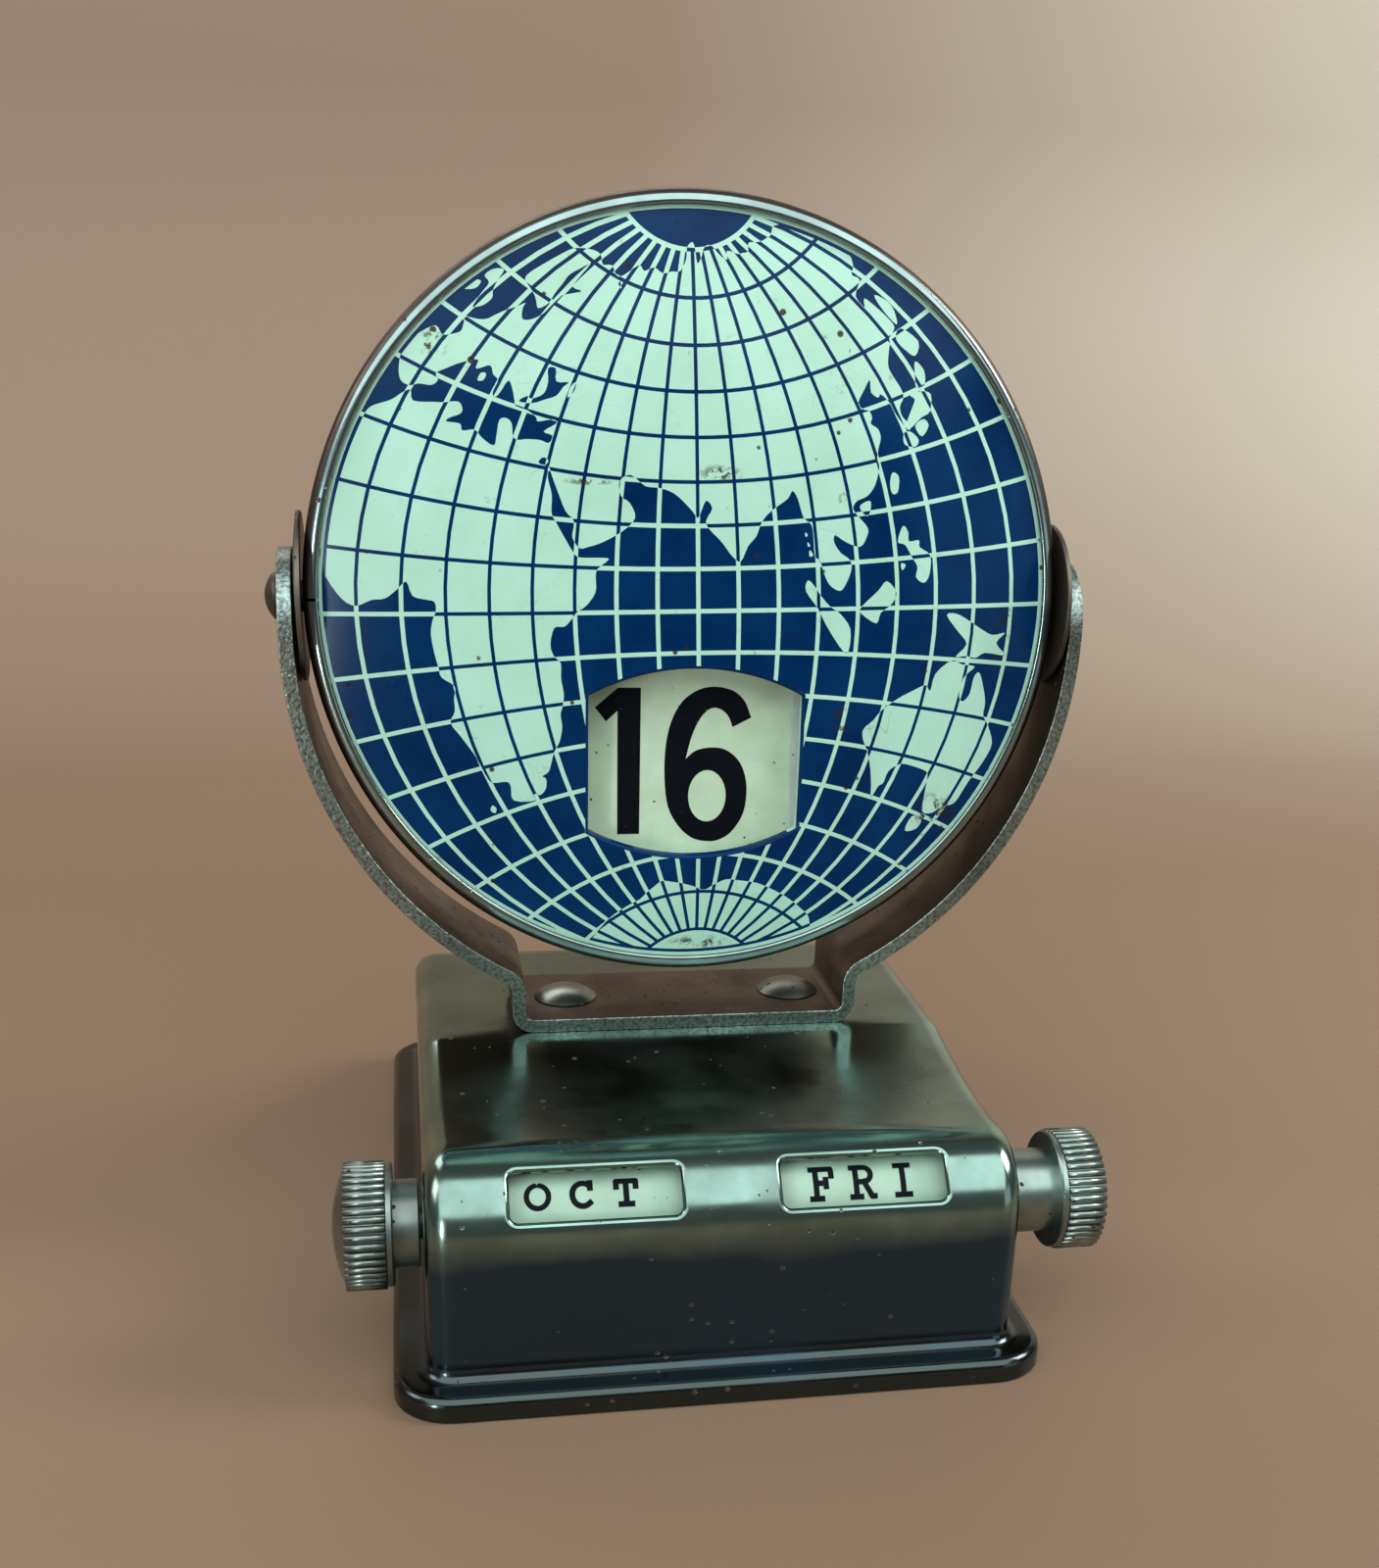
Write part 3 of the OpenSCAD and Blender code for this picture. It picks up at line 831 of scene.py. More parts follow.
@dataclass(frozen=True)
class Paper(Finish):
    """Matt painted or papered surface with small specks."""

    colour: Colour = rgb(199, 221, 194)
    shade: Colour = rgb(178, 198, 168)
    speck: Colour = rgb(66, 58, 44)
    specks: float = 0.18
    roughness: float = 0.45

    def material(self) -> Material:
        """Builds the material.

        Returns:
            The material.
        """
        material, g, shader, at = self.start()
        wear = self.group(g, Group.PITS, at, Size=1700.0, Spread=self.specks, Patch=160.0)
        tone = g.mix(g.stretch(wear.outputs["Haze"], 0.35, 0.7), self.colour, self.shade)
        g.feed(shader, {
            "Base Color": g.mix(wear.outputs["Pits"], tone, self.speck),
            "Roughness": g.math("MULTIPLY_ADD", wear.outputs["Haze"], 0.15, self.roughness),
            "Normal": g.bump(g.noise(at, 2400.0, 3), 0.15, 0.00003),
        })
        return material


@dataclass(frozen=True)
class Ink(Finish):
    """Black lettering ink with tiny bare spots."""

    colour: Colour = rgb(10, 14, 20)
    bare: Colour = rgb(96, 104, 98)
    wear: float = 0.07

    def material(self) -> Material:
        """Builds the material.

        Returns:
            The material.
        """
        material, g, shader, at = self.start()
        wear = self.group(g, Group.PITS, at, Size=4200.0, Spread=self.wear, Patch=500.0)
        g.feed(shader, {
            "Base Color": g.mix(wear.outputs["Pits"], self.colour, self.bare),
            "Roughness": g.math("MULTIPLY_ADD", wear.outputs["Haze"], 0.3, 0.35),
            "Specular IOR Level": 0.06,
        })
        return material


class Finishes:
    """Every material of the calendar, made once."""

    def __init__(self) -> None:
        """Builds the shared groups and then the materials."""
        build_pits()
        build_scratches()
        # The chrome's wall and foot shade colours are painted shade: the base's lower wall and foot are
        # darker
        self.chrome = PlatedSteel(
            "worn_chrome", rgb(138, 164, 156), rgb(108, 124, 118), roughness=0.11, haze=0.16,
            spread=0.2, waviness=0.3, wall_shade_colour=rgb(62, 82, 100), foot_shade_colour=rgb(66, 72, 72),
        ).material()
        self.knob = PlatedSteel(
            "knob_plating", rgb(158, 174, 170), rgb(98, 98, 94), roughness=0.24, haze=0.2,
            spread=0.5, waviness=0.3,
        ).material()
        self.band = PlatedSteel(
            "dull_band", rgb(88, 82, 78), rgb(60, 54, 50), roughness=0.3, haze=0.22, spread=0.5,
        ).material()
        self.strip = PlatedSteel(
            "worn_strip", rgb(106, 97, 88), rgb(72, 60, 52), roughness=0.34, haze=0.2,
            spread=0.9, waviness=0.5,
        ).material()
        self.sheared = PlatedSteel(
            "sheared_edge", rgb(168, 186, 182), rgb(112, 120, 116), roughness=0.28, haze=0.15,
            spread=0.4, waviness=1.5, grain=0.6,
        ).material()
        self.dark = PlatedSteel(
            "dark_steel", rgb(120, 112, 104), rgb(70, 60, 52), roughness=0.38, haze=0.2,
            spread=0.9, waviness=0.5,
        ).material()
        # Smoother plating for the top of the drum's beads, and lighter than the band as a painted highlight
        self.bead = PlatedSteel(
            "bead_plating_painted_highlight", rgb(150, 168, 168), rgb(116, 128, 128), roughness=0.1,
        ).material()
        self.rivet = PlatedSteel(
            "rivet_plating", rgb(140, 152, 146), rgb(98, 98, 92), roughness=0.3, spread=0.5,
        ).material()
        self.inside = PlatedSteel(
            "bare_tin", rgb(150, 150, 146), rgb(116, 112, 106), roughness=0.35, spread=0.3,
        ).material()
        self.sea = PrintedTin("blue_print").material()
        self.land = PrintedTin(
            "cream_print", rgb(176, 214, 199), rgb(164, 203, 184), rgb(70, 62, 48), 0.42,
        ).material()
        self.paper = Paper("date_paper").material()
        self.label = Paper(
            "label_paper", rgb(158, 187, 169), rgb(143, 168, 150), specks=0.16,
        ).material()
        self.guide = Paper(
            "guide_paint", rgb(206, 222, 214), rgb(176, 190, 180), specks=0.2, roughness=0.35,
        ).material()
        self.ink = Ink("lettering_ink").material()


# ---------- base


@dataclass
class Base:
    """Pressed base with its two windows and its flange."""

    finishes: Finishes
    width: float = 2 * WALL_X
    depth: float = 80.0
    lip: float = 3.2
    flange_h: float = 2.4
    flange_round: float = 1.0
    flange_chamfer: float = 0.12
    sheet: float = SHEET_T
    edge_r: float = 2.4
    shoulder_r: float = 7.1
    ridge_z: float = 22.7
    platform_z: float = 24.2
    sag: float = 0.8
    sweep_start: float = 1.0
    platform_front: float = 7.2
    platform_back: float = 17.6
    rear_wall_z: float = 8.5
    rear_shoulder_r: float = 6.0
    rear_round: float = 3.0
    cove_r: float = 1.2
    slot_w: float = 15.7
    slot_h: float = 5.0
    slot_gap: float = 9.3
    slot_angle: float = 41.0
    slot_r: float = 0.8
    slot_roll: float = 0.5
    bore_r: float = 1.55
    longest: float = 2.0
    half_columns: int = 12
    levels: int = 8

    def profile(self) -> list[Point]:
        """Side outline over the top, from the foot of the front wall to that of the rear wall.

        Returns:
            Points (y, z).
        """
        front, foot = -self.depth / 2, self.flange_h + self.cove_r
        top_y, top_z = front + self.shoulder_r, self.ridge_z - self.shoulder_r
        a, b = Vector((top_y, self.ridge_z)), Vector((PIVOT[0] - self.platform_front, self.platform_z))
        chord = (b - a).length
        r = (chord * chord / 4 + self.sag**2) / (2 * self.sag)
        tilt = math.degrees(math.atan2(b.y - a.y, b.x - a.x))
        half = math.degrees(math.asin(chord / 2 / r))
        up = Vector((-math.sin(math.radians(tilt)), math.cos(math.radians(tilt))))
        c = (a + b) / 2 + up * (r - self.sag)
        rear_c = Vector((PIVOT[0] + self.platform_back, self.platform_z - self.rear_shoulder_r))
        end = Vector((self.depth / 2, self.rear_wall_z))
        reach = end - rear_c
        slope = math.degrees(math.atan2(-reach.y, reach.x) + math.asin(self.rear_shoulder_r / reach.length))
        corner = end - self.rear_round * Vector((1, math.tan(math.radians(90 - slope) / 2)))
        line = [(front, foot)] + arc(top_y, top_z, self.shoulder_r, 180, 90, 40)
        line += arc(c.x, c.y, r, tilt - 90 - half + self.sweep_start, tilt - 90 + half, 40)
        line += arc(rear_c.x, rear_c.y, self.rear_shoulder_r, 90, 90 - slope, 16)
        line += arc(corner.x, corner.y, self.rear_round, 90 - slope, 0, 10) + [(end.x, foot)]
        return subdivided(line, self.longest)

    def slots(self, grow: float) -> list[list[Point]]:
        """Outlines of the two windows.

        Args:
            grow: Margin by which they are larger than the windows.

        Returns:
            The two loops in (x, length along the side outline).
        """
        start = self.ridge_z - self.shoulder_r - self.flange_h - self.cove_r
        middle = start + self.shoulder_r * math.radians(self.slot_angle)
        loop = round_rect(self.slot_w + 2 * grow, self.slot_h + 2 * grow, self.slot_r + grow, 8)
        shift = (self.slot_gap + self.slot_w) / 2
        return [[(p[0] + side * shift, p[1] + middle) for p in loop] for side in (-1, 1)]

    def shell(self) -> Piece:
        """Makes the shell: crowned top, rounded ends, side walls, flange and rolled windows.

        Returns:
            The piece.
        """
        draft = Draft()
        path = Path(self.profile())

        def at(x: float, s: float) -> Place:
            """Point of the top at x and a length, its two tangents and its normal."""
            p, d = path.at(s)
            return Vector((x, p.x, p.y)), Vector((1, 0, 0)), Vector((0, d.x, d.y)), Vector((0, -d.y, d.x))

        flat = self.width / 2 - self.edge_r
        outline = [(-flat, s) for s in reversed(path.lengths)] + [(flat, s) for s in path.lengths]
        columns = [flat * (k / self.half_columns - 1) for k in range(1, 2 * self.half_columns)]
        grid = [(x, s) for x in columns for s in path.lengths[1:-1]]
        top = filled([outline] + self.slots(self.slot_roll), grid)
        draft.lay(top, at, (0, 1, 0), (self.sheet, -1, 1))
        for loop in self.slots(0):
            draft.strip(edge_rows(at, loop, False, self.sheet, self.slot_roll, 5)[:-1], True)
        self.add_ends(draft, path, flat)
        self.add_flange(draft)
        return draft.make("base_pressing", [self.finishes.chrome, self.finishes.inside])

    def add_ends(self, draft: Draft, path: Path, flat: float) -> None:
        """Adds the rounded ends and the two side walls with their bores.

        Args:
            draft: Where the faces go.
            path: The side outline.
            flat: Distance from the middle to where the rounding starts.
        """
        for side in (-1, 1):
            outer, inner = [], []
            for k in range(self.levels + 1):
                a = math.radians(90 * k / self.levels)
                x, inset = side * (flat + self.edge_r * math.sin(a)), self.edge_r * (1 - math.cos(a))
                row = []
                for p, d in zip(path.line, path.ways):
                    full = Vector((side * math.sin(a), -d.y * math.cos(a), d.x * math.cos(a)))
                    z = max(p[1] - d.x * inset, path.line[0][1])
                    row.append((Vector((x, p[0] + d.y * inset, z)), full))
                outer.append(row)
                inner.append([(p - n * self.sheet, -n) for p, n in row])
            draft.strip(outer, False, 0)
            draft.strip(inner, False, 1)
            wall = [(row[0].y, row[0].z) for row in outer[-1]]
            for patch in filled([wall, circle(self.bore_r, 32, *ROLLER_AXIS)]):
                for depth, sign, slot in ((0, 1, 0), (self.sheet, -1, 1)):
                    x = side * (self.width / 2 - depth)
                    draft.face([Vector((x, y, z)) for y, z in patch], [Vector((side * sign, 0, 0))] * 3, slot)

    def flange_section(self) -> list[Vector]:
        """Section of the cove and the flange: distance out of the wall, and height.

        Returns:
            Points from the wall's outer side round the lip to its inner side.
        """
        cove, lip, rnd, high = self.cove_r, self.lip, self.flange_round, self.flange_h
        under, cut = high - self.sheet, self.flange_chamfer
        section = arc(cove, high + cove, cove, 180, 270, 8) + arc(lip - rnd, high - rnd, rnd, 90, 0, 8)
        section += [(lip, cut), (lip - cut, 0), (lip - self.sheet, 0), (lip - self.sheet, under)]
        section += [(-self.sheet, under), (-self.sheet, high + cove)]
        return [Vector(p) for p in section]

    def add_flange(self, draft: Draft) -> None:
        """Adds the cove and the flange, carried round the foot of the walls.

        Args:
            draft: Where the faces go.
        """
        path = []
        for cx, cy, a in quarters(self.width / 2 - self.edge_r, self.depth / 2 - self.edge_r):
            for k in range(self.levels + 1):
                turn = math.radians(a + 90 * k / self.levels)
                out = Vector((math.cos(turn), math.sin(turn), 0))
                path.append((Vector((cx, cy, 0)) + out * self.edge_r, out))
        section = self.flange_section()
        ways = [(b - a).normalized() for a, b in zip(section, section[1:])]
        for i, way in enumerate(ways):
            rows = []
            for end, near in ((i, i - 1), (i + 1, i + 1)):
                d = way
                if 0 <= near < len(ways) and way.angle(ways[near]) < math.radians(SOFT_ANGLE):
                    d = (way + ways[near]).normalized()
                rise, up = Vector((0, 0, section[end].y)), Vector((0, 0, d.x))
                rows.append([(p + out * section[end].x + rise, out * -d.y + up) for p, out in path])
            draft.strip(rows, True)


# ---------- yoke


@dataclass
class Yoke:
    """U-shaped strip that holds the drum, with its rivets, pins and washers."""

    finishes: Finishes
    thick: float = 1.4
    width: float = 13.6
    foot_l: float = 36.4
    foot_z: float = 25.6
    ear_x: float = 38.1
    drop: float = 3.2
    rise: float = 4.6
    turn_r: float = 1.6
    bend_r: float = 0.8
    edge_roll: float = 0.12
    longest: float = 2.5
    grid_y: tuple[float, ...] = (-5.0, -2.5, 0.0, 2.5, 5.0)
    rivet_x: float = 12.2
    rivet_d: float = 6.6
    rivet_h: float = 1.3
    rivet_edge: Point = (0.15, 0.12)
    shank_r: float = 1.5
    upset_h: float = 0.9
    upset_in: float = 0.7
    pin_d: float = 3.0
    head_d: float = 4.4
    head_h: float = 1.4
    head_edge: Point = (0.1, 0.15)
    head_rim: float = 0.5
    tail_h: float = 0.9
    tail_rim: float = 0.8
    band_t: float = 0.6
    strap_gap: float = 0.9
    strap_t: float = 0.8
    washer_d: float = 16.0
    washer_t: float = 0.4
    washer_flat: float = 1.6
    washer_edge: float = 0.1
    dish: tuple[Point, ...] = ((0.7, 0.7), (0.88, 0.3))

    def path(self) -> list[Point]:
        """Face towards the drum, from ear to ear.

        Returns:
            Points (x, z from the pivot).
        """
        riser = self.foot_l / 2 - self.thick
        foot = self.foot_z - PIVOT[1]
        turn_x = riser + self.thick + self.turn_r
        reach = self.ear_x + self.thick + self.turn_r
        start = math.degrees(math.asin(turn_x / reach))
        turn_z = -self.drop - reach * math.cos(math.radians(start))
        half = [(0.0, foot)] + arc(riser - self.bend_r, foot + self.bend_r, self.bend_r, -90, 0, 8)
        half += arc(turn_x, turn_z, self.turn_r + self.thick, 180, 90 + start, 10)
        half += arc(0, -self.drop, self.ear_x, start - 90, 0, 44) + [(self.ear_x, self.rise)]
        half = subdivided(half, self.longest)
        return [(-x, z) for x, z in reversed(half[1:])] + half

    def strip(self) -> Piece:
        """Makes the bent strip with its rounded ears, pin bores and sheared edges.

        Returns:
            The piece.
        """
        path = Path(self.path())

        def at(s: float, y: float) -> Place:
            """Follows the face towards the drum.

            Args:
                s: Length along the strip.
                y: Distance across it.

            Returns:
                The point, its two tangents and its normal.
            """
            p, d = path.at(s)
            axes = Vector((d.x, 0, d.y)), Vector((0, 1, 0)), Vector((-d.y, 0, d.x))
            return Vector((p.x, PIVOT[0] + y, PIVOT[1] + p.y)), *axes

        half, total = self.width / 2, path.lengths[-1]
        levels = [s for s in path.lengths if half < s < total - half]
        outline = [(s, -half) for s in levels] + arc(total - half, 0, half, -90, 90, 24)
        outline += [(s, half) for s in reversed(levels)] + arc(half, 0, half, 90, 270, 24)
        bores = [circle(self.pin_d / 2 + RUN_FIT, 24, s) for s in (self.rise, total - self.rise)]
        grid = [(s, y) for s in path.lengths[1:-1] for y in self.grid_y]
        draft = Draft()
        inner = []
        for number, loop in enumerate([anticlockwise(outline)] + bores):
            away = edge_normals(loop, number == 0)
            roll = self.edge_roll
            inner.append([(p[0] - m.x * roll, p[1] - m.y * roll) for p, m in zip(loop, away)])
            draft.strip(edge_rows(at, loop, number == 0, self.thick, roll, 2), True, 1)
        draft.lay(filled(inner, grid), at, (0, 1, 0), (self.thick, -1, 0))
        return draft.make("yoke_strip", [self.finishes.strip, self.finishes.sheared])

    def rivets(self) -> list[Piece]:
        """Makes the two rivets, each with a domed head over the foot.

        Returns:
            The left rivet and the right one.
        """
        low, r = self.foot_z - self.thick - SHEET_T, self.rivet_d / 2
        upset, (inset, rim) = r - self.upset_in, self.rivet_edge
        profile = [(0, low - self.upset_h), (upset, low - self.upset_h), (upset, low), (self.shank_r, low)]
        profile += [(self.shank_r, self.foot_z), (r - inset, self.foot_z), (r, self.foot_z + rim)]
        profile += dome(r, self.rivet_h - rim, self.foot_z + rim, 12)[1:]
        pieces = []
        for name, side in (("rivet_left_head", -1), ("rivet_right_head", 1)):
            draft = Draft()
            turned(draft, profile, Matrix.Translation((side * self.rivet_x, PIVOT[0], 0)), 64)
            pieces.append(draft.make(name, [self.finishes.rivet]))
        return pieces

    def pair(self, name: str, profile: Sequence[Point], steps: int, crease: float) -> list[Piece]:
        """Turns a profile about the pivot, on both sides.

        Args:
            name: Name of the pieces, without their side.
            profile: Loop of (radius, distance from the middle).
            steps: Steps round the pivot.
            crease: Angle in degrees above which a corner stays sharp.

        Returns:
            The left piece and the right one.
        """
        pieces = []
        for hand, side in (("left", -1), ("right", 1)):
            draft = Draft()
            turned(draft, profile, sideways(PIVOT, side), steps, crease=crease)
            pieces.append(draft.make(f"{name}_{hand}", [self.finishes.dark]))
        return pieces

    def pins(self) -> list[Piece]:
        """Makes the two pivot pins with their domed heads.

        Returns:
            The left pin and the right one.
        """
        head = self.ear_x + self.thick + RUN_FIT
        tail = DRUM_R - self.band_t - self.strap_gap - self.strap_t
        r, h, (inset, edge) = self.pin_d / 2, self.head_d / 2, self.head_edge
        wide = r + self.tail_rim
        profile = [(0, tail - self.tail_h), (wide, tail - self.tail_h), (wide, tail), (r, tail)]
        profile += [(r, head), (h - inset, head), (h, head + edge), (h, head + self.head_rim)]
        profile += dome(h, self.head_h - self.head_rim, head + self.head_rim)[1:]
        return self.pair("pivot_pin", profile, 48, SOFT_ANGLE)

    def washers(self) -> list[Piece]:
        """Makes the two dished washers between the ears and the drum.

        Returns:
            The left washer and the right one.
        """
        gap = DRUM_R + SEAT
        rise = self.ear_x - RUN_FIT - gap - self.washer_t
        r, bore, edge = self.washer_d / 2, self.pin_d / 2 + SEAT, self.washer_edge
        slope = [(bore, rise), (bore + self.washer_flat, rise)] + [(r * x, rise * z) for x, z in self.dish]
        over = [(x, z + self.washer_t) for x, z in reversed(slope)]
        profile = slope + [(r - edge, 0), (r, edge), (r, self.washer_t)] + over
        return self.pair("dished_washer", [(x, gap + z) for x, z in profile], 72, 30)


# ---------- drum


@dataclass
class Drum:
    """Round drum: rim band and two domed, printed faces with date windows."""

    finishes: Finishes
    lean: float = 4.0
    r: float = DRUM_R
    band_w: float = 9.6
    band_t: float = 0.6
    bead_r: float = 1.2
    bead_lip: float = 0.3
    lip_r: float = 0.3
    # Reach of the painted highlight on top of the rolled beads
    bead_highlight_r: float = 36.6
    bead_highlight_depth: float = 0.63
    dome_h: float = 3.2
    face_t: float = 0.4
    window_w: float = 21.2
    window_h: float = 18.8
    window_side_h: float = 13.5
    window_drop: float = 15.4
    window_roll: float = 0.3
    window_lip: float = 1.3
    window_step: float = 1.5
    seam_gap: float = 0.3

    def place(self, front: bool = True) -> Matrix:
        """Axes of a face.

        Args:
            front: True for the front face, False for the back face.

        Returns:
            Axes with X across, Y up the face and Z out of it.
        """
        lean = math.radians(self.lean)
        c, s = math.cos(lean), math.sin(lean)
        axes = Matrix(((1, 0, 0, 0), (0, s, -c, PIVOT[0]), (0, c, s, PIVOT[1]), (0, 0, 0, 1)))
        return axes if front else axes @ Matrix.Rotation(math.pi, 4, "Y")

    @property
    def print_r(self) -> float:
        """Radius at which the rolled edge covers the print."""
        return self.r - self.bead_r - self.bead_lip

    @property
    def rim_n(self) -> float:
        """Height of the faces' rim over the middle of the drum."""
        return self.band_w / 2 - self.band_t - RUN_FIT

    def surface(self, front: bool) -> Surface:
        """The domed face.

        Args:
            front: True for the front face, False for the back face.

        Returns:
            A surface of (across, up).
        """
        place = self.place(front)
        turn = place.to_3x3()

        def at(u: float, v: float) -> Place:
            """Follows the dome.

            Args:
                u: Distance across.
                v: Distance up the face.

            Returns:
                The point, its two tangents and its normal.
            """
            r = math.hypot(u, v)
            q = min(r / self.print_r, 1)
            height = self.rim_n + self.dome_h * (1 - q**3)
            slope = -3 * self.dome_h * q * q / self.print_r / max(r, TINY) if r < self.print_r else 0
            n = Vector((-slope * u, -slope * v, 1)).normalized()
            t1 = Vector((1, 0, slope * u)).normalized()
            t2 = Vector((0, 1, slope * v)).normalized()
            return place @ Vector((u, v, height)), turn @ t1, turn @ t2, turn @ n

        return at

    def window(self, drop: float, grow: float = 0) -> list[Point]:
        """Outline of the date window: upright sides between two arcs.

        Args:
            drop: Height of its middle over the middle of the face.
            grow: Margin by which it is larger than the window.

        Returns:
            The anticlockwise outline.
        """
        w, top, side = self.window_w / 2 + grow, self.window_h / 2 + grow, self.window_side_h / 2
        sag = self.window_h / 2 - side
        r = (self.window_w**2 / 4 + sag * sag) / (2 * sag) + grow
        half = math.degrees(math.asin(w / r))
        upper = arc(0, top - r, r, 90 - half, 90 + half, 24)
        lower = [(-x, -y) for x, y in upper]
        loop = subdivided(upper + lower + upper[:1], self.window_step)[:-1]
        return [(x, y + drop) for x, y in loop]

    def band(self) -> Piece:
        """Makes the rim band with its rolled edges, the joint of its ends and a painted highlight on top of
        its beads.

        Returns:
            The piece.
        """
        n, bead, wall = self.band_w / 2, self.bead_r, self.band_t
        centre, lip = self.r - bead, self.print_r + self.lip_r
        half = arc(centre, n - bead, bead, 0, 90, 12) + arc(lip, n - self.lip_r, self.lip_r, 90, 270, 10)[1:]
        half += arc(centre, n - bead, bead - wall, 90, 0, 8)[1:]
        profile = half + [(r, -z) for r, z in reversed(half)]
        gap = math.degrees(self.seam_gap / 2 / self.r)
        draft = Draft()
        turned(draft, profile, self.place(), 240, (-180 + gap, 180 - gap))
        piece = draft.make("rim_band_rolled", [self.finishes.band, self.finishes.bead])
        # Painted highlight: faces on top of the rolled beads take the lighter, smoother bead finish
        inward = self.place().inverted()
        for polygon in piece.data.polygons:
            spot = inward @ (polygon.center / MM)
            if abs(spot.z) > n - self.bead_highlight_depth and math.hypot(spot.x, spot.y) < self.bead_highlight_r:
                polygon.material_index = 1
        return piece


class Tone(IntEnum):
    """Material slots of a printed face."""

    SEA = 0
    LAND = 1
    TIN = 2


class Mark(Enum):
    """What a region of the print stands for."""

    FACE = "face"
    WINDOW = "window"
    GLOBE = "globe"
    INSIDE = "inside"
    LAND = "land"
    WATER = "water"
    SEA_LINE = "sea_line"
    LAND_LINE = "land_line"


@dataclass
class GlobePrint:
    """World hemisphere in globular projection, printed on a face of the drum."""

    drum: Drum
    front: bool
    middle: float
    coasts: Loops
    waters: Loops
    radius: float = 36.06
    shift: Point = (0.0, -0.5)
    turn: float = 1.3
    stretch: float = 0.026
    sea_r: float = 35.4
    sea_line: float = 0.42
    land_line: float = 0.35
    tuck: float = 0.3
    cap: int = 80
    every: int = 10
    fine: int = 5
    coast_step: float = 8.0
    coast_parts: int = 3
    least: float = 0.02
    edge_steps: int = 4
    cream_wall: float = 0.2

    def project(self, lat: float, lon: float) -> Point:
        """Place of a latitude and longitude by Nicolosi's construction.

        Args:
            lat: Latitude in degrees.
            lon: Longitude in degrees, cut off at the edge of the hemisphere.

        Returns:
            The place (across, up) on the face, in millimetres.
        """
        turn = max(-90.0, min(90.0, lon - self.middle))
        lam, phi = math.radians(turn), math.radians(lat)
        quarter = math.pi / 2
        if abs(lat) > 89.99:
            x, y = 0.0, math.copysign(quarter, lat)
        elif abs(turn) < 0.01:
            x, y = 0.0, phi
        elif abs(lat) < 0.01:
            x, y = lam, 0.0
        elif abs(turn) > 89.99:
            x, y = math.copysign(quarter * math.cos(phi), lam), quarter * math.sin(phi)
        else:
            b = quarter / lam - lam / quarter
            c = phi / quarter
            d = (1 - c * c) / (math.sin(phi) - c)
            b2, d2 = b * b, d * d
            m = (b * math.sin(phi) / d - b / 2) / (1 + b2 / d2)
            n = (d2 * math.sin(phi) / b2 + d / 2) / (1 + d2 / b2)
            x_root = math.sqrt(m * m + math.cos(phi) ** 2 / (1 + b2 / d2))
            under = (d2 / b2 * math.sin(phi) ** 2 + d * math.sin(phi) - 1) / (1 + d2 / b2)
            y_root = math.sqrt(max(n * n - under, 0))
            x = quarter * (m + math.copysign(x_root, lam))
            y = quarter * (n - math.copysign(y_root, phi))
        scale = self.radius / quarter * (1 + self.stretch * ((x * x + y * y) / quarter**2 - 0.5))
        turned_by = Matrix.Rotation(math.radians(self.turn), 2)
        spot = turned_by @ Vector((x * scale, y * scale)) + Vector(self.shift)
        return spot.x, spot.y

    def region(self, coast: Sequence[Point]) -> list[Point]:
        """Outline of a land or a lake on the face.

        Args:
            coast: Its coast in (latitude, longitude).

        Returns:
            The anticlockwise outline, or nothing if it lies past the edge.
        """
        line = subdivided(list(coast) + [coast[0]], self.coast_step)[:-1]
        spots = [self.project(lat, lon) for lat, lon in line]
        clean = [p for p, q in zip(spots, spots[1:] + spots[:1]) if math.dist(p, q) > self.least]
        return anticlockwise(smooth_loop(clean, self.coast_parts)) if len(clean) > 2 else []

    def lines(self) -> list[list[Point]]:
        """The meridians and the parallels.

        Returns:
            Lines on the face.
        """
        up = range(-self.cap, self.cap + 1, self.fine)
        across = range(-90, 91, self.fine)
        result = []
        for lon in range(self.every - 90, 90, self.every):
            result.append([self.project(lat, self.middle + lon) for lat in up])
        for lat in range(-self.cap, self.cap + 1, self.every):
            result.append([self.project(lat, self.middle + lon) for lon in across])
        return result

    def regions(self, rim: list[Point], hole: list[Point]) -> list[tuple[Mark, list[Point]]]:
        """All that is printed.

        Args:
            rim: Edge of the face.
            hole: Edge of the window.

        Returns:
            Outlines, each with what it stands for.
        """
        result = [(Mark.FACE, rim), (Mark.WINDOW, hole), (Mark.GLOBE, circle(self.sea_r, 180))]
        for mark, outlines in ((Mark.LAND, self.coasts), (Mark.WATER, self.waters)):
            result += [(mark, self.region(outline)) for outline in outlines]
        for line in self.lines():
            for mark, width in ((Mark.SEA_LINE, self.sea_line), (Mark.LAND_LINE, self.land_line)):
                result.append((mark, ribbon(line, width)))
        result.append((Mark.INSIDE, circle(self.sea_r - self.land_line, 180)))
        return [(mark, loop) for mark, loop in result if loop]

    @staticmethod
    def tone(held: set[Mark]) -> int:
        """Ink of a spot.

        Args:
            held: The regions that hold it.

        Returns:
            Its material slot.
        """
        if Mark.GLOBE not in held:
            return Tone.LAND
        if Mark.LAND in held and Mark.WATER not in held:
            return Tone.SEA if Mark.LAND_LINE in held or Mark.INSIDE not in held else Tone.LAND
        return Tone.LAND if Mark.SEA_LINE in held else Tone.SEA

